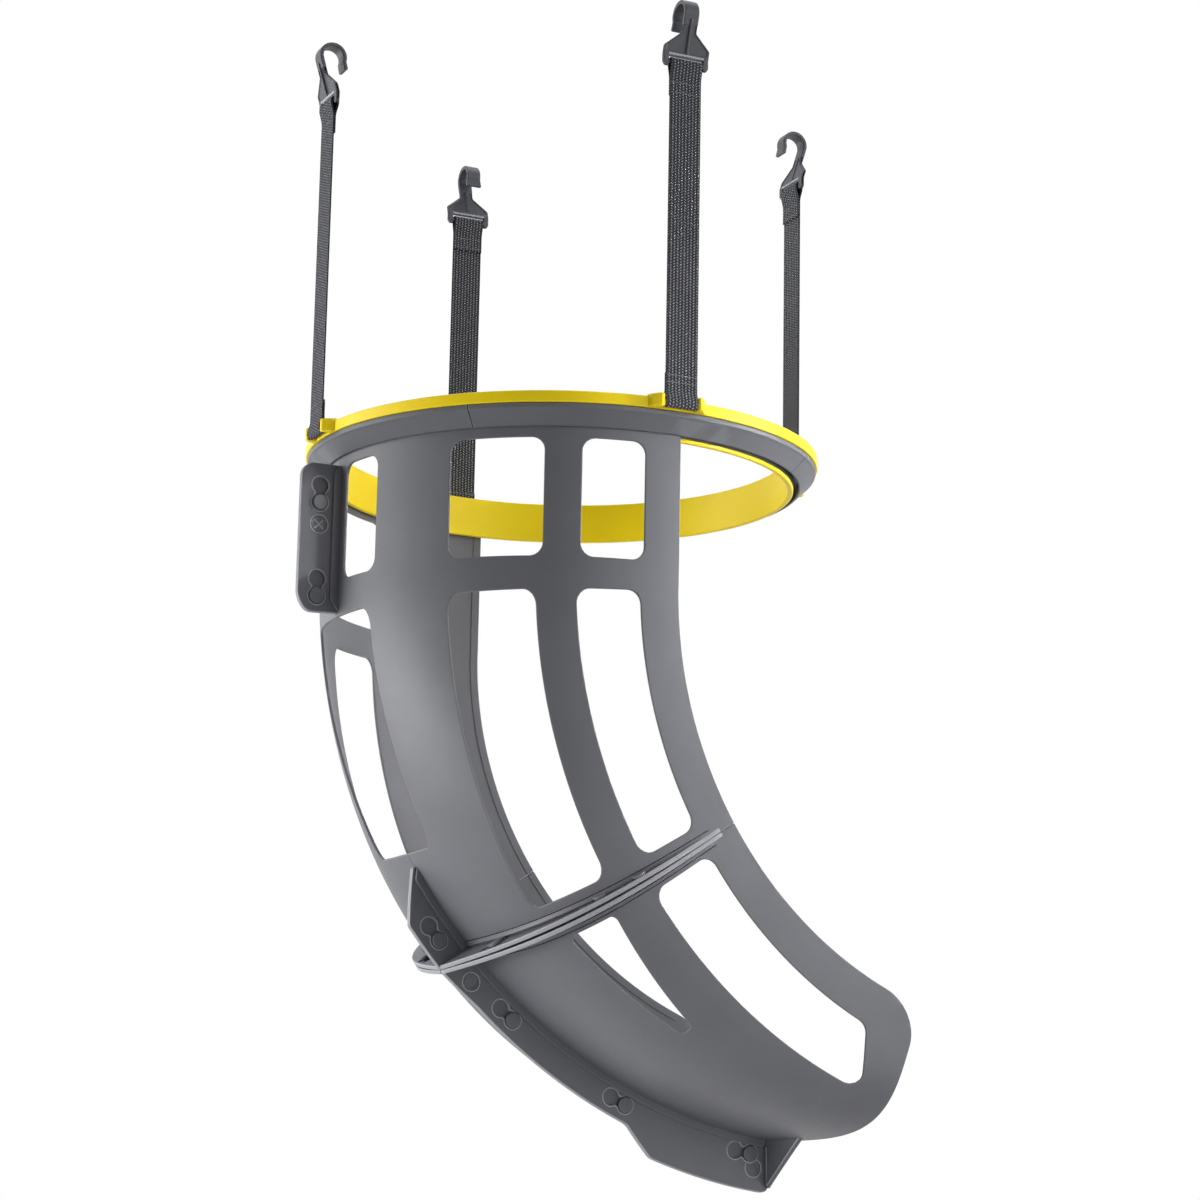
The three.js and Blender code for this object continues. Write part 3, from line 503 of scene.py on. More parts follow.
def chute_point(path, angle, offset, side=1):
    radius = section(path, angle) + offset
    point = axis_at(path) + back_at(path) * radius * math.cos(angle)
    point[1] = side * max(radius * math.sin(angle), SEAM_GAP)
    return point


def on_wall(side, lift=0.0):
    """Places path, arc and depth on the wall, with arcs measured on the chute's round top"""
    return lambda x, y, d: chute_point(x, y / CHUTE, d + lift, side)


def spine(path, height):
    return chute_point(path, 0.0, height)[[0, 2]]


# Half shells

DEGREE = math.radians(CHUTE)
CUT, WINDOW_CORNER, SLOT_CORNER, MOUTH_CORNER = 1, 12, 5, 42

# Windows: start and end along the path, and how far round from the spine in degrees
SMALL_ROW, SMALL_WINDOWS = (28, 138), ((4, 17.6), (39.2, 61.4), (70, 84.6))
LONG_ROW, LONG_WINDOWS = (165, JOINT - 15), ((39.2, 60), (69.2, 83.9))
SPINE_ROW, SPINE_REACH = (165, 315), {1: 23, -1: 15.5}
LOWER_ROW = JOINT + 11
SLOT_END = LOWER_ROW + 98
SLOT_WINDOW = ((LOWER_ROW, 44.4), (LOWER_ROW, 57.4), (SLOT_END, 55.6), (SLOT_END, 52))
SIDE_WINDOW = ((LOWER_ROW, 67.6), (LOWER_ROW, 83.8), (MOUTH - 47, 82.6), (MOUTH - 27, 67.6))

# Bead along the free edge, and fillet at the transverse flange
BEAD_WIDTH, BEAD_MARGIN, BEAD_THICK, BEAD_SUNK = 9, 0.8, 1.3, 0.5
BEAD_BEFORE_MOUTH = 44
FILLET, FILLET_SHARE, FILLET_STEPS, FILLET_RINGS = 3.2, 0.6, 60, 5
FILLET_START, FILLET_END = 0.02, COLLAR_END * 0.97
FILLET_BACK, FILLET_SUNK = 0.5, -0.8


def window(corners, radius):
    return divided(rounded([(path, degrees * DEGREE, radius) for path, degrees in corners], 6), COARSE)


def box_window(row, reach):
    (start, end), (near, far) = row, reach
    return window([(start, near), (start, far), (end, far), (end, near)], WINDOW_CORNER)


def shell(form, side, outer, holes):
    panel(form, divided(outer, COARSE), holes, on_wall(side), WALL, edge=1.0, cell=8.0)


def edge_bead(form, side, start, end):
    """A low bead along the inside of a free edge"""
    near, far = EDGE - BEAD_WIDTH, EDGE - BEAD_MARGIN
    loop = divided([(start, near), (end, near), (end, far), (start, far)], COARSE)
    panel(form, loop, [], on_wall(side, BEAD_SUNK - WALL), BEAD_THICK, edge=0.6)


def upper_skin(form, side):
    end, reach = JOINT - SEAM_GAP, SPINE_REACH[side] * DEGREE
    top, bottom = SPINE_ROW
    outer = rounded([(CHUTE_START, 0, 0), (top, 0, CUT), (top, reach, WINDOW_CORNER),
                     (bottom, reach, WINDOW_CORNER), (bottom, 0, CUT),
                     (end, 0, 0), (end, EDGE, CUT), (CHUTE_START, EDGE, CUT)])
    holes = [box_window(SMALL_ROW, reach) for reach in SMALL_WINDOWS]
    holes += [box_window(LONG_ROW, reach) for reach in LONG_WINDOWS]
    shell(form, side, outer, holes)


def lower_skin(form, side):
    start = JOINT + SEAM_GAP
    outer = rounded([(start, 0, 0), (MOUTH, 0, 0), (MOUTH, EDGE, MOUTH_CORNER), (start, EDGE, CUT)], 10)
    shell(form, side, outer, [window(SLOT_WINDOW, SLOT_CORNER), window(SIDE_WINDOW, WINDOW_CORNER)])


# Flange round the transverse joint

SEAT_ANGLE, SEAT_SHARE = math.radians(24), 0.55
COLLAR_STEPS, COLLAR_LEAST = 60, 0.4
COLLAR_NECK = 5.55

# Slits on the flange's sides, each with a raised block at its far end
SLIT_ANGLES = (52.5, 62.5)
SLIT_ROUND, SLIT_SUNK, SLIT_NECK, SLIT_FOOT = 7.0, 1.6, 3.0, 0.9
SLIT_START, SLIT_TURN = -6.4, 6.0
SLIT_OUT, SLIT_BACK = (9, 12, 15, 18), (18, 12, 6, 0, SLIT_START)
BLOCK_ROUND, BLOCK_TRIM, BLOCK_THICK, BLOCK_LIFT = 7.4, 0.2, 2.9, 3.0


def collar_height(angle):
    return COLLAR_HEIGHT * max(0.0, 1 - angle / COLLAR_END) ** COLLAR_POWER


def collar_lift(angle):
    """How far the flange's two plates part between the spine and the edge"""
    return COLLAR_LIFT * math.sin(math.pi * min(1, angle / COLLAR_END))


def root_fillet(form, side, level):
    """The moulded fillet between the transverse flange and the wall"""
    verts = []
    for k in range(FILLET_STEPS + 1):
        angle = lerp(FILLET_START, FILLET_END, k / FILLET_STEPS)
        base = level * (SEAM_GAP + collar_lift(angle) + COLLAR_PLATE)
        tall = min(FILLET, collar_height(angle) * FILLET_SHARE)
        for q in range(FILLET_RINGS):
            t = math.pi / 2 * q / (FILLET_RINGS - 1)
            rise, out = tall * (1 - math.sin(t)), FILLET * (1 - math.cos(t))
            verts.append(chute_point(JOINT + base + level * out, angle, rise, side))
        verts.append(chute_point(JOINT + base - level * FILLET_BACK, angle, FILLET_SUNK, side))
    form.add(verts, tube_faces(FILLET_STEPS + 1, FILLET_RINGS + 1), FLANGE_SHADE_SLOT)


def collar_point(angle, height):
    radius = section(JOINT, angle) + height
    return np.array([radius * math.cos(angle), max(radius * math.sin(angle), SEAM_GAP)])


def slit(degrees):
    """The outlines of a slit with a round start and of the block at its end"""
    start = math.radians(degrees)
    reach = section(JOINT, start)
    rounds = np.linspace(SLIT_START, SLIT_TURN, 12)
    runs = [(dx, math.sqrt(SLIT_ROUND ** 2 - dx * dx) - SLIT_SUNK) for dx in rounds]
    runs += [(dx, SLIT_NECK) for dx in SLIT_OUT]
    runs += [(dx, SLIT_FOOT) for dx in SLIT_BACK]
    turns = np.linspace(BLOCK_TRIM, math.pi - BLOCK_TRIM, 16)
    head = [(SPACING + BLOCK_ROUND * math.cos(t), BLOCK_ROUND * math.sin(t) - SLIT_SUNK) for t in turns]
    hole = [collar_point(start + dx / reach, max(SLIT_FOOT, h)) for dx, h in runs]
    return hole, [collar_point(start + dx / reach, h) for dx, h in head]


def collar_flange(form, side, level):
    """One plate of the flange: level -1 above the joint, with the keyhole, and 1 below it, with the stud"""
    angles = [COLLAR_END * k / COLLAR_STEPS for k in range(COLLAR_STEPS + 1)]
    outer = [collar_point(a, max(collar_height(a), COLLAR_LEAST)) for a in angles]
    outer += [collar_point(a, FOOT) for a in reversed(angles)]
    origin, along, back = axis_at(JOINT), along_at(JOINT), back_at(JOINT)

    def place(b, y, depth):
        rise = SEAM_GAP + collar_lift(math.atan2(y, b)) + COLLAR_PLATE + depth
        return origin + back * b + along * level * rise + np.array([0, side * y, 0])

    entry_angle = SEAT_ANGLE - SPACING / (section(JOINT, SEAT_ANGLE) + COLLAR_HEIGHT / 2)
    entry, seat = (collar_point(a, SEAT_SHARE * collar_height(a)) for a in (entry_angle, SEAT_ANGLE))
    holes = []
    if level < 0:
        holes.append(keyhole(entry, seat))
        for degrees in SLIT_ANGLES:
            hole, block = slit(degrees)
            holes.append(hole)
            panel(form, block, [], lambda b, y, d: place(b, y, d + BLOCK_LIFT), BLOCK_THICK, edge=0.8,
                  slot=FLANGE_SHADE_SLOT)
    # The plate takes the flanges' painted shade, its rims the painted highlight
    panel(form, outer, holes, place, COLLAR_PLATE, edge=0.9, slot=FLANGE_SHADE_SLOT, rim_highlight_slot=RIM_HIGHLIGHT_SLOT)
    if level > 0:
        middle = origin + back * seat[0] + np.array([0, side * seat[1], 0])
        across = np.array([0, 1, 0])
        stud_form(form, lambda v: middle + back * v[0] + across * v[1] - along * v[2], COLLAR_NECK)


# Flanges in the seam plane, with their keyholes and fasteners

NECK, RIM_NECK = 4.6, 6.2
KEYHOLE_STEPS, ROUND_STEPS = 26, 40
STUD_FOOT, STUD_SHANK, STUD_TALL, SEAM_NECK = -2.2, 3.9, 2.8, 3.45
STUD_BEVEL, STUD_CROWN = (1.0, 0.9), 0.15
RIVET_TOP, RIVET_SEAT, RIVET_SUNK = 2.75, 1.45, 0.75
RIVET_FOOT, RIVET_BARB, RIVET_SHANK = -7.45, (4.3, -3.45), 3.3
RIVET_LIP, RIVET_DISH = 1.5, 1.9
RIVET_CROSS_TURNS, RIVET_CROSS_HALF, RIVET_CROSS_THICK = (45, 135), (5.9, 0.8), 1.0
RIM_RADIUS, KEYHOLE_RIM, RIM_LIFT, RIM_THICK = 9.5, 9.4, 0.45, 1.0
RIVET_HOLE = 3.8
RIB_FOOT, RIB_TALL, RIB_SLOPE, RIB_THICK, RIB_SQUARE = -1.0, 7.5, 7.5, 6.0, 0.5

# Outlines along the path: start and end, height above the wall, and corner
SPINE_PLATE, SPINE_HEIGHT, SPINE_CORNER = (26, 163), 39, 13
LOWER_START, LOWER_FOOT, LOWER_SLOPE = JOINT - 64, 3, 31
KEEL_END, KEEL_HEEL = MOUTH - 9, lerp(JOINT, MOUTH, 0.587)
KEEL_HEIGHT, HEEL_HEIGHT, HEEL_SLOPE, KEEL_LEAN = 31.5, 51, 26, 14.0

# Cross plate at the keel's end, with a bead and a rim as (distance from the seam, height, corner)
CROSS_HEIGHT, CROSS_FLAT, CROSS_REACH, CROSS_ROOT = 46, 7, 76, -2
CROSS_BEAD, CROSS_BEAD_THICK = ((6.4, 7, 2), (10.6, 7, 2), (9.6, 44, 1.5), (6.4, 44, 1.5)), 2.4
CROSS_RIM, CROSS_RIM_THICK = ((6, 44.8, 1), (7.4, 44.8, 1), (75, -0.4, 0), (72, -0.4, 0)), 1.6
CROSS_LIFT = 0.4

# Studs and rivets: distance along the path, or share of the keel, and height above the wall
SEAM_ROW, KEEL_ROW, HEEL_ROW = 20, 16, 29
UPPER_STUDS, LOWER_STUD, KEEL_STUD_SHARES = (47.5, 137.4), JOINT - 27, (0.154, 0.512, 0.888)
UPPER_RIVET, KEEL_RIVET_SHARE, HEEL_RIVET = 85, 0.061, MOUTH - 12


def seam_place(side, width):
    return lambda x, z, d: np.array([x, side * (SEAM_GAP + width + d), z])


def seam_pin_place(centre):
    return lambda v: np.array([centre[0] + v[0], -v[2], centre[1] + v[1]])


def plate_pair(path, height):
    entry = spine(path, height)
    slide = spine(path + SPACING, height) - entry
    return entry, entry + slide / np.linalg.norm(slide) * SPACING


def keyhole(entry, seat, radius=STUD_HOLE, neck=NECK):
    """Two round holes joined by a neck"""
    way = (seat - entry) / np.linalg.norm(seat - entry)
    base = math.atan2(way[1], way[0])
    tilt = math.asin(neck / radius)
    turns = [tilt + (2 * math.pi - 2 * tilt) * k / KEYHOLE_STEPS for k in range(KEYHOLE_STEPS + 1)]
    loop = []
    for centre, start in ((entry, base), (seat, base + math.pi)):
        loop += [centre + radius * np.array([math.cos(start + t), math.sin(start + t)]) for t in turns]
    return loop


def stud_form(form, place, neck):
    """A stud with a flat head on a shank that reaches through its keyhole"""
    top = neck + STUD_TALL
    inward, down = STUD_BEVEL
    profile = rounded([(0, STUD_FOOT, 0), (STUD_SHANK, STUD_FOOT, 0), (STUD_SHANK, neck, 0.3),
                       (STUD_HEAD, neck, 0.4), (STUD_HEAD, top - down, 0.3),
                       (STUD_HEAD - inward, top - STUD_CROWN, 0.6), (0, top, 0)], 3)
    turned(form, profile, ROUND_STEPS, place=place, slot=FLANGE_SHADE_SLOT)


def rivet_form(form, place, crossed):
    """A sunk push rivet with a raised rim, and a cross in its dish where it is crossed"""
    floor = RIVET_TOP - RIVET_SUNK
    profile = rounded([(0, RIVET_FOOT, 0), (*RIVET_BARB, 0.3), (RIVET_SHANK, RIVET_BARB[1], 0.2),
                       (RIVET_SHANK, RIVET_SEAT, 0.2), (STUD_HEAD, RIVET_SEAT, 0.3),
                       (STUD_HEAD, RIVET_TOP, 0.35), (STUD_HEAD - RIVET_LIP, RIVET_TOP, 0.3),
                       (STUD_HEAD - RIVET_DISH, floor, 0.2), (0, floor, 0)], 3)
    turned(form, profile, ROUND_STEPS, place=place)
    # The cross's pads take the lighter grey, a painted highlight
    for turn in RIVET_CROSS_TURNS if crossed else ():
        a = math.radians(turn)
        way = RIVET_CROSS_HALF[0] * np.array([math.cos(a), math.sin(a)])
        out = RIVET_CROSS_HALF[1] * np.array([-math.sin(a), math.cos(a)])
        loop = [-way - out, way - out, way + out, out - way]
        panel(form, loop, [], lambda x, y, d: place(np.array([x, y, RIVET_TOP + d])), RIVET_CROSS_THICK,
              edge=0.3, slot=HIGHLIGHT_SLOT)


UPPER_PAIRS = [plate_pair(path, SEAM_ROW) for path in UPPER_STUDS]
LOWER_PAIR = plate_pair(LOWER_STUD, SEAM_ROW)
KEEL_PAIRS = [plate_pair(lerp(JOINT, MOUTH, share), KEEL_ROW) for share in KEEL_STUD_SHARES]
RIVETS = [spine(UPPER_RIVET, SEAM_ROW), spine(lerp(JOINT, MOUTH, KEEL_RIVET_SHARE), SEAM_ROW),
          spine(HEEL_RIVET, HEEL_ROW)]


def seam_plates(form, side, corners, steps, pairs, rivets, slot=FLANGE_SHADE_SLOT):
    """One plate of a seam flange: the right one with keyholes and rivet seats, the left one with studs"""
    outline = [spine(*p) for p in divided(rounded(corners, steps), FINE)]
    holes = []
    if side < 0:
        holes = [keyhole(*pair) for pair in pairs] + [circle(c, STUD_HOLE) for c in rivets]
    # The plate's rims take the lighter grey, a painted highlight on its edges
    panel(form, outline, holes, seam_place(side, PLATE), PLATE, edge=0.9, slot=slot, rim_highlight_slot=RIM_HIGHLIGHT_SLOT)
    if side > 0:
        for _, seat in pairs:
            stud_form(form, seam_pin_place(seat), SEAM_NECK)
        return
    # Raised rings round the rivet seats and keyholes, in the lighter grey of painted highlight
    raised = seam_place(side, PLATE + RIM_LIFT)
    for centre in rivets:
        outer = circle(centre, RIM_RADIUS)
        panel(form, outer, [circle(centre, RIVET_HOLE)], seam_place(side, RIM_THICK), RIM_THICK, edge=0.1,
              slot=FLANGE_SHADE_SLOT)
        panel(form, outer, [circle(centre, STUD_HOLE)], raised, RIM_THICK, edge=0.4, slot=RIM_HIGHLIGHT_SLOT)
    for pair in pairs:
        outer = keyhole(*pair, radius=KEYHOLE_RIM, neck=RIM_NECK)
        panel(form, outer, [keyhole(*pair)], raised, RIM_THICK, edge=0.4, slot=RIM_HIGHLIGHT_SLOT)


def root_rib(form, side, start, end, start_slope=RIB_SLOPE, end_slope=RIB_SLOPE):
    """A low rib that thickens a seam flange at its root"""
    outline = rounded([(start, RIB_FOOT, 0), (start + start_slope, RIB_TALL, 3),
                       (end - end_slope, RIB_TALL, 3), (end, RIB_FOOT, 0)], 4)
    body = [spine(*p) for p in divided(outline, FINE)]
    panel(form, body, [], seam_place(side, RIB_THICK), RIB_THICK, edge=0.9, slot=FLANGE_SHADE_SLOT)


def upper_flanges(form, side):
    start, end = SPINE_PLATE
    corners = [(start, FOOT, 0), (start, SPINE_HEIGHT, SPINE_CORNER), (end, SPINE_HEIGHT, SPINE_CORNER),
               (end, FOOT, 0)]
    seam_plates(form, side, corners, 8, UPPER_PAIRS, RIVETS[:1])
    root_rib(form, side, start, end)
    start, end = LOWER_START, JOINT - SEAM_GAP
    corners = [(start, FOOT, 0), (start, LOWER_FOOT, 1), (start + LOWER_SLOPE, COLLAR_HEIGHT, 4),
               (end, COLLAR_HEIGHT, 1), (end, FOOT, 0)]
    seam_plates(form, side, corners, 5, [LOWER_PAIR], [])
    root_rib(form, side, start, end, end_slope=RIB_SQUARE)


def keel(form, side):
    start, end = JOINT + SEAM_GAP, KEEL_END
    corners = [(start, FOOT, 0), (start, COLLAR_HEIGHT, 1), (start + LOWER_SLOPE, KEEL_HEIGHT, 8),
               (KEEL_HEEL, KEEL_HEIGHT, 10), (KEEL_HEEL + HEEL_SLOPE, HEEL_HEIGHT, 8),
               (end + KEEL_LEAN, HEEL_HEIGHT, 5), (end, FOOT, 0)]
    # The keel keeps the wall's lighter grey, without the flanges' painted shade
    seam_plates(form, side, corners, 6, KEEL_PAIRS, RIVETS[1:], slot=WALL_SLOT)
    root_rib(form, side, start, end, RIB_SQUARE, RIB_SQUARE)
    along = along_at(end)

    def place(y, height, depth):
        path = end + KEEL_LEAN * (height - CROSS_ROOT) / (HEEL_HEIGHT - CROSS_ROOT)
        point = spine(path, height)
        return np.array([point[0] + along[0] * depth, side * y, point[1] + along[2] * depth])

    def raised(y, height, depth):
        return place(y, height, depth - PLATE + CROSS_LIFT)

    plate = rounded([(SEAM_GAP, CROSS_ROOT, 0), (SEAM_GAP, CROSS_HEIGHT, 0.5), (CROSS_FLAT, CROSS_HEIGHT, 4),
                     (CROSS_REACH, 0, 6), (CROSS_REACH, CROSS_ROOT, 0)], 5)
    bead, rim = rounded(CROSS_BEAD, 4), rounded(CROSS_RIM, 3)
    # The cross plate and bead take the painted shade, the rim the painted highlight
    panel(form, divided(plate, COARSE), [], place, PLATE, edge=0.7, slot=FLANGE_SHADE_SLOT)
    panel(form, divided(bead, FINE), [], raised, CROSS_BEAD_THICK, edge=1.1, slot=FLANGE_SHADE_SLOT)
    panel(form, divided(rim, COARSE), [], raised, CROSS_RIM_THICK, edge=0.7, slot=RIM_HIGHLIGHT_SLOT)


for side, name in ((1, "left"), (-1, "right")):
    upper = Form()
    upper_skin(upper, side)
    upper_flanges(upper, side)
    collar_flange(upper, side, -1)
    root_fillet(upper, side, -1)
    edge_bead(upper, side, CHUTE_START, JOINT - CUT)
    upper.build(f"upper_shell_{name}", [GREY, FLANGE_SHADED_GREY, HIGHLIGHT_GREY], "chute", f"chute_upper_{name}")
    lower = Form()
    lower_skin(lower, side)
    keel(lower, side)
    collar_flange(lower, side, 1)
    root_fillet(lower, side, 1)
    edge_bead(lower, side, JOINT + CUT, MOUTH - BEAD_BEFORE_MOUTH)
    lower.build(f"lower_shell_{name}", [GREY, FLANGE_SHADED_GREY, HIGHLIGHT_GREY], "chute", f"chute_lower_{name}")

for k, centre in enumerate(RIVETS):
    pin = Form()
    rivet_form(pin, seam_pin_place(centre), k == 0)
    pin.build(f"push_rivet_{k + 1}", [PIN, HIGHLIGHT_GREY], "chute", f"seam_rivet_{k + 1}")


# Track ring, with the lugs and bars for the straps

TRACK_TOP, TRACK_FOOT = 18, -22.1
FLANGE_TOP, FLANGE_THICK = 10.7, 3.0
LIP_TOP, LIP_REACH, LIP_FOOT = -18.5, 3.2, 3.0
LUG_REACH, LUG_INSIDE, LUG_OUTSIDE, LUG_TALL = 9.5, 16.85, 21.85, 12.4
LUG_FLARE, LUG_ROOT = (2.6, 26.65), 29.85
BAR_HALF = 22.2
RING_STEPS, BAR_STEPS = 220, 24

ring = Form()
inner, under = RIM - FLANGE_THICK, FLANGE_TOP - FLANGE_THICK
turned(ring, rounded([
    (BORE, TRACK_FOOT, 1.2), (BORE, TRACK_TOP, 0.8), (CHANNEL, TRACK_TOP, 0.8), (CHANNEL, FLANGE_TOP, 1.0),
    (RIM, FLANGE_TOP, 1.6), (RIM, 0, 0.6), (inner, 0, 0.6), (inner, under, 0.4), (CHANNEL, under, 0.4),
    (CHANNEL, LIP_TOP, 0.4), (CHANNEL + LIP_REACH, LIP_TOP, 0.8), (CHANNEL + LIP_FOOT, TRACK_FOOT, 1.4)],
    4), RING_STEPS)
for turn in STATIONS.values():
    spin = turning(turn)
    for side in (1, -1):
        loop = rounded([(inner, side * LUG_INSIDE, 0), (RIM + LUG_REACH, side * LUG_INSIDE, 2.5),
                        (RIM + LUG_REACH, side * LUG_OUTSIDE, 3.5),
                        (RIM + LUG_FLARE[0], side * LUG_FLARE[1], 4), (inner, side * LUG_ROOT, 0)], 6)
        panel(ring, loop, [], lambda x, y, d: spin @ np.array([x, y, LUG_TALL + d]), LUG_TALL, edge=1.4)
    rod = rounded([(0, -BAR_HALF, 0), (BAR_RADIUS, -BAR_HALF, 0.6), (BAR_RADIUS, BAR_HALF, 0.6),
                   (0, BAR_HALF, 0)], 3)
    turned(ring, rod, BAR_STEPS,
           place=lambda v: spin @ np.array([BAR_DISTANCE + v[0], v[2], BAR_RISE + v[1]]))
ring.build("yellow_track", [YELLOW], "track", "track_ring")

# Swivel ring in four segments, hollow below and with a cone outside

SWIVEL_BORE, SWIVEL_FOOT, SWIVEL_TOP = 224.2, -18.2, 7.1
HOLLOW, HOLLOW_TOP = (227.1, 231.9), -8.2
CONE_FOOT, CONE_TOP, CONE_INSET = 233.7, -6.3, 0.4
LEDGE, LEDGE_FOOT, LEDGE_TOP = 1.6, -4.8, -0.3
HALF_SEGMENT, SEGMENT_STEPS = 45 - 0.1, 56

SWIVEL = rounded([
    (SWIVEL_BORE, SWIVEL_FOOT, 0.4), (HOLLOW[0], SWIVEL_FOOT, 0.6), (HOLLOW[0], HOLLOW_TOP, 0.3),
    (HOLLOW[1], HOLLOW_TOP, 0.3), (HOLLOW[1], SWIVEL_FOOT, 0.6), (CONE_FOOT, SWIVEL_FOOT, 0.7),
    (SWIVEL_RIM - CONE_INSET, CONE_TOP, 0.8), (SWIVEL_RIM + LEDGE, LEDGE_FOOT, 0.8),
    (SWIVEL_RIM + LEDGE, LEDGE_TOP, 0.6), (SWIVEL_RIM, LEDGE_TOP, 0.3), (SWIVEL_RIM, SWIVEL_TOP, 0.4),
    (SWIVEL_BORE, SWIVEL_TOP, 0.4)], 3)
for name, turn in STATIONS.items():
    segment = Form()
    turned(segment, SWIVEL, SEGMENT_STEPS, turn - HALF_SEGMENT, turn + HALF_SEGMENT)
    segment.build(f"swivel_{name}", [GREY], "chute", f"swivel_segment_{name}")


# Straps, each from its lower bar's centre with X outwards

STRAP_CLEARANCE, LOOP_CLEARANCE = 0.02, 0.3
LAP_START, LAP_STEP, LAP_JOINED = 28, 3.1, 12.5
TOP_LAP, TOP_LAP_STEP, LAP_POINTS = 17, 4, 5
STITCH_ROWS = (19.5, 26, STRAP_PITCH - 20, STRAP_PITCH - 30)
STITCHES, STITCH_SPACING, STITCH_LENGTH, STITCH_RISE, STITCH_OUT = 11, 2.8, 1.9, 0.28, 0.05
STITCH_SHARES = (0, 0.15, 0.35, 0.5, 0.65, 0.85, 1)
STITCH_TURNS = (0, 1.05, 2.09, 3.14, 4.19, 5.24)
THREAD_OUT, THREAD_UP = 0.3, 0.35


def arc(radius, start, end, centre, steps=14):
    turns = [math.radians(lerp(start, end, k / steps)) for k in range(steps + 1)]
    return [(radius * math.cos(t), radius * math.sin(t) + centre) for t in turns]


def ease(x0, z0, x1, z1, steps=7):
    shares = [k / steps for k in range(1, steps)]
    return [(lerp(x0, x1, (1 - math.cos(math.pi * s)) / 2), lerp(z0, z1, s)) for s in shares]


def strap_route():
    """From the end of the lower lap, round the lower bar, up, round the upper bar and down its lap"""
    half, loop = WEBBING / 2 + STRAP_CLEARANCE, BAR_RADIUS + LOOP_CLEARANCE + WEBBING / 2
    top, lap = STRAP_PITCH, STRAP_PITCH - TOP_LAP
    route = [(-half, LAP_START - LAP_STEP * k) for k in range(LAP_POINTS)] + [(-half, LAP_JOINED)]
    route += ease(-half, LAP_JOINED, -loop, 1) + arc(loop, 180, 360, 0) + ease(loop, 1, half, LAP_JOINED)
    route += [(half, z) for z in np.linspace(LAP_JOINED, lap, 52)]
    route += ease(half, lap, loop, top - 1) + arc(loop, 0, 180, top)
    route += ease(-loop, top - 1, -half, lap) + [(-half, lap - TOP_LAP_STEP * k) for k in range(LAP_POINTS)]
    return route


def stitches(form):
    """Short thread stitches across the strap, on both faces"""
    for z in STITCH_ROWS:
        for k in range(STITCHES):
            y = (k - STITCHES // 2) * STITCH_SPACING
            for face in (1, -1):
                x = face * (WEBBING + STITCH_OUT)
                verts = []
                for s in STITCH_SHARES:
                    out = x + face * STITCH_RISE * math.sin(math.pi * s)
                    run = y + (s - 0.5) * STITCH_LENGTH
                    verts += [np.array([out + THREAD_OUT * math.cos(t), run, z + THREAD_UP * math.sin(t)])
                              for t in STITCH_TURNS]
                form.add(verts, tube_faces(len(STITCH_SHARES), len(STITCH_TURNS)))


# Hooks, each from its upper bar's centre with X outwards

SLOT_HALF, SLOT_LOW, SLOT_TOP = 17.5, 2, 6.6
EAR_HALF, EAR_INNER, EAR_FOOT, EAR_SIDE = 21.6, -2, -4, -1
BASE_HALF, BASE_TOP, SHOULDER = 23.4, 15, 28.5
NECK_HALF, NECK_TOP = 7.2, 43
RECESS_INSIDE, RECESS_OUTSIDE, RECESS_NECK = 2.0, 20.6, 5.4
RECESS_FOOT, RECESS_SIDE, RECESS_SHOULDER, RECESS_TOP = 10.2, 14.4, 27.4, 39
WEB, WEB_DEPTH = 2.4, 1.2
RIDGE_LOW, RIDGE_HIGH, RIDGE_STEP, RIDGE_OUT = 8.2, 43.5, 2.0, 1.0
RIDGE_HALF, RIDGE_THICK = 1.35, 2.3
LEAN_FOOT, LEAN_RISE, LEAN_OUT = 6.8, 37.0, 11.3

# Two bars across the slot's top: half depth, lowest and highest point, and material slot; the outer bar's
# lighter slot paints a highlight on it
FRAME_HALF = 18.2
FRAME_BARS = ((HOOK_THICK / 2 + 0.3, 6.5, 8.6, HIGHLIGHT_SLOT), (0.6, 5.0, 7.2, 0))

# Curl over the rod, in degrees, with a straight tip that flares
CURL_START, CURL_END, CURL_FOOT = -20, 197, (34, 36, 38, 40, 42)
TIP_TURN, TIP_RUNS = math.radians(12), (1.5, 3, 4.5, 6, 7, 7.8, 8.4, 8.8)
CURL_HALF, TIP_FLARE, TIP_SHARE = 7.6, 0.9, 0.15


def lean_at(z):
    return LEAN_OUT * max(0.0, z - LEAN_FOOT) / LEAN_RISE


def hook_place(middle):
    return lambda y, z, d: np.array([lean_at(z) + middle + d, y, z])


def curl_half_width(share):
    return CURL_HALF + TIP_FLARE * max(0.0, share - (1 - TIP_SHARE)) / TIP_SHARE


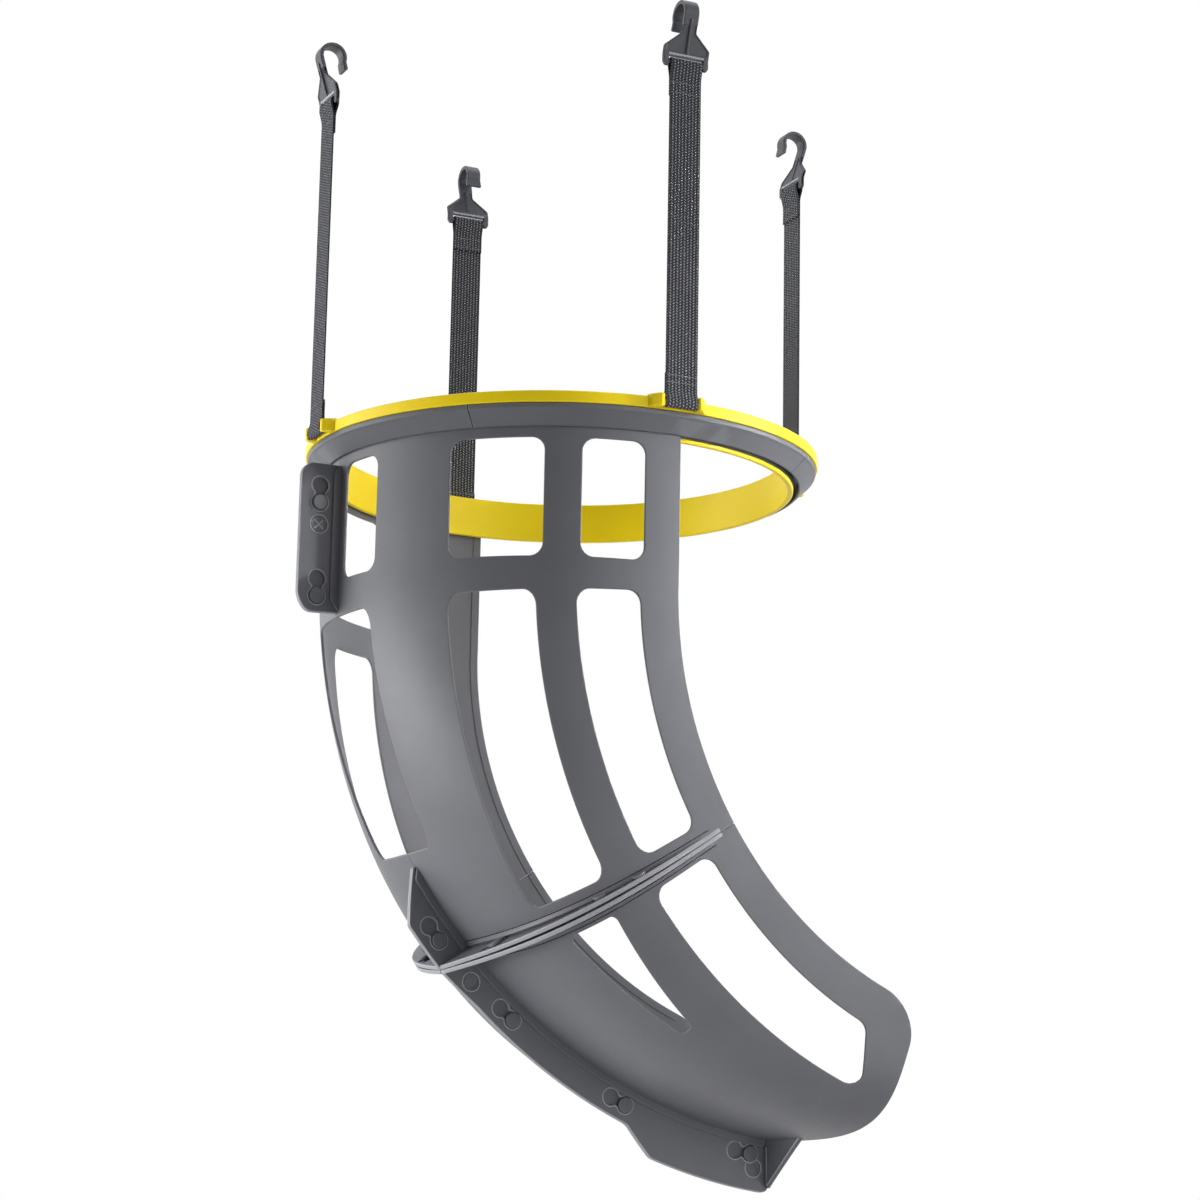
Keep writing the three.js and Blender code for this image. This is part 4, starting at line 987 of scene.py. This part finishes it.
def hook_form(form):
    half = [(SLOT_HALF, EAR_INNER, 0.6), (SLOT_HALF, EAR_FOOT, 0.4), (EAR_HALF, EAR_FOOT, 1.8),
            (BASE_HALF, EAR_SIDE, 1.8), (BASE_HALF, BASE_TOP, 3), (NECK_HALF, SHOULDER, 3),
            (NECK_HALF, NECK_TOP, 0)]
    outline = divided(rounded(half + [(-x, z, r) for x, z, r in reversed(half)], 4), FINE)
    slot = rounded([(-SLOT_HALF, SLOT_LOW, 0.8), (SLOT_HALF, SLOT_LOW, 0.8), (SLOT_HALF, SLOT_TOP, 0.8),
                    (-SLOT_HALF, SLOT_TOP, 0.8)], 3)
    recess = [rounded([(s * RECESS_INSIDE, RECESS_FOOT, 1), (s * RECESS_OUTSIDE, RECESS_FOOT, 1.2),
                       (s * RECESS_OUTSIDE, RECESS_SIDE, 1.5), (s * RECESS_NECK, RECESS_SHOULDER, 1),
                       (s * RECESS_NECK, RECESS_TOP, 0.8), (s * RECESS_INSIDE, RECESS_TOP, 0.6)], 3)
              for s in (1, -1)]
    panel(form, outline, [slot], hook_place(WEB_DEPTH), WEB, edge=0.5, cell=5.0)
    panel(form, outline, [slot] + recess, hook_place(HOOK_THICK / 2), HOOK_THICK, edge=1.1, cell=5.0)
    ridge = [(lean_at(z) + RIDGE_OUT, z) for z in np.arange(RIDGE_LOW, RIDGE_HIGH, RIDGE_STEP)]
    band(form, ridge, lambda share: RIDGE_HALF, RIDGE_THICK, 0.9)
    for depth, low, high, slot_number in FRAME_BARS:
        bar = rounded([(-depth, low, 0.5), (depth, low, 0.5), (depth, high, 0.5), (-depth, high, 0.5)], 3)
        panel(form, bar, [], lambda x, z, d: np.array([x + lean_at(z), FRAME_HALF + d, z]), 2 * FRAME_HALF,
              edge=0.5, slot=slot_number)
    curl = [(lean_at(z), z) for z in CURL_FOOT]
    curl += arc(HOOK_BORE + HOOK_THICK / 2, CURL_START, CURL_END, HOOK_CENTRE, 40)
    end_x, end_z = curl[-1]
    curl += [(end_x - math.sin(TIP_TURN) * s, end_z - math.cos(TIP_TURN) * s) for s in TIP_RUNS]
    band(form, curl, curl_half_width, HOOK_THICK / 2, 1.3)


for name, turn in STATIONS.items():
    at_ring, at_hook = (BAR_DISTANCE, 0, BAR_RISE), (BAR_DISTANCE, 0, BAR_RISE + STRAP_PITCH)
    strap = Form()
    length = band(strap, strap_route(), lambda share: STRAP_WIDTH / 2, WEBBING / 2, 0.6,
                  weave=True, ends=False)
    sheet = strap.build(f"webbing_{name}", [CLOTH], f"strap_{name}", f"strap_{name}",
                        turn=turn, offset=at_ring)
    thread = Form()
    stitches(thread)
    thread.build(f"stitching_{name}", [THREAD], f"strap_{name}", turn=turn, offset=at_ring)
    hook = Form()
    hook_form(hook)
    hook.build(f"rim_hook_{name}", [DARK, HIGHLIGHT_GREY], f"hook_{name}", f"hook_{name}", turn=turn, offset=at_hook)

# Camera at the photograph's angle
lens_data = bpy.data.cameras.new("main_camera")
lens_data.lens = 92.15
lens_data.sensor_width = 36
camera = bpy.data.objects.new("main_camera", lens_data)
camera.location = (-1.21902, -2.65492, -1.12299)
camera.rotation_euler = [math.radians(a) for a in (101.867, -1.048, -25.666)]
bpy.context.scene.collection.objects.link(camera)
bpy.context.scene.camera = camera
bpy.context.scene.view_settings.view_transform = "Standard"


# Studio, in metres

WHITE = (1, 1, 1, 1)
AMBIENT, PAPER, PAPER_GLOW = 0.06, (0.8, 0.8, 0.8, 1), 0.86
FLOOR_SIZE, FLOOR_Z = 60, -1.35
CENTRE, SOFT = (0.05, 0, -0.65), 1.2
WIDE, NARROW = 180, 20


def seen_rays(tree):
    """1 for the rays that show the background, 0 for the rays that light the object"""
    rays = tree.nodes.new("ShaderNodeLightPath")
    result = rays.outputs["Is Camera Ray"]
    for kind in ("Is Glossy Ray", "Is Transmission Ray"):
        larger = tree.nodes.new("ShaderNodeMath")
        larger.operation = "MAXIMUM"
        tree.links.new(result, larger.inputs[0])
        tree.links.new(rays.outputs[kind], larger.inputs[1])
        result = larger.outputs[0]
    return result


def mixed(tree, share, lower, upper, target):
    """Two shaders mixed by a share and sent to a target"""
    item = tree.nodes.new("ShaderNodeMixShader")
    for source, socket in zip((share, lower, upper), item.inputs):
        tree.links.new(source, socket)
    tree.links.new(item.outputs[0], target)


world = bpy.data.worlds.new("studio")
bpy.context.scene.world = world
world.use_nodes = True
tree = world.node_tree
tree.nodes.clear()
bright = node(tree, "ShaderNodeBackground", Color=WHITE, Strength=1.0)
ambient = node(tree, "ShaderNodeBackground", Color=WHITE, Strength=AMBIENT)
out = tree.nodes.new("ShaderNodeOutputWorld")
mixed(tree, seen_rays(tree), ambient.outputs[0], bright.outputs[0], out.inputs[0])

# Lamps: name, place, what they point at, width, power in watts, and spread in degrees
LAMPS = (
    ("left_low", (-2.2, 0.98, -1.1), CENTRE, SOFT, 56, WIDE),
    ("left_foot", (-1.9, 0.1, -1.2), (-0.18, -0.1, -0.86), 0.5, 0.25, NARROW),
    ("left_high", (-2.08, 1.2, 0.5), CENTRE, SOFT, 19, WIDE),
    ("left_back", (-1.2, 2.08, -0.4), CENTRE, SOFT, 8, WIDE),
    ("right_low", (1.2, -2.08, -1.1), CENTRE, SOFT, 12, WIDE),
    ("edge_strip", (2.0, -1.2, -0.4), (0.04, -0.2, -0.52), 0.4, 1.1, NARROW),
    ("keel_strip", (-0.5, -1.9, -1.3), (0.16, -0.05, -1.04), 0.5, 0.25, NARROW),
    ("right_high", (1.2, -2.08, 0.5), CENTRE, SOFT, 8, WIDE),
    ("right_side", (2.08, -1.2, 0.5), CENTRE, SOFT, 26, WIDE),
    ("right_front", (0, -2.4, -0.4), CENTRE, SOFT, 5, WIDE),
    ("top", (0, 0, 1.6), CENTRE, SOFT, 20, WIDE),
)
for name, place, target, size, power, spread in LAMPS:
    data = bpy.data.lights.new(name, "AREA")
    data.size = size
    data.spread = math.radians(spread)
    data.energy = power
    lamp = bpy.data.objects.new(name, data)
    lamp.location = place
    lamp.rotation_euler = (Vector(target) - Vector(place)).to_track_quat("-Z", "Y").to_euler()
    bpy.context.scene.collection.objects.link(lamp)

# Paper floor, which keeps the shadow and is near white to the camera
bpy.ops.mesh.primitive_plane_add(size=FLOOR_SIZE, location=(0, 0, FLOOR_Z))
floor = bpy.context.object
floor.name = "studio_floor"
paper, tree, shader = new_material("studio_paper")
shader.inputs["Base Color"].default_value = PAPER
shader.inputs["Roughness"].default_value = 0.9
glow = node(tree, "ShaderNodeEmission", Color=WHITE, Strength=1.0)
share = ramp(tree, seen_rays(tree), (0, 1), 0, PAPER_GLOW)
mixed(tree, share, shader.outputs[0], glow.outputs[0], tree.nodes["Material Output"].inputs["Surface"])
floor.data.materials.append(paper)
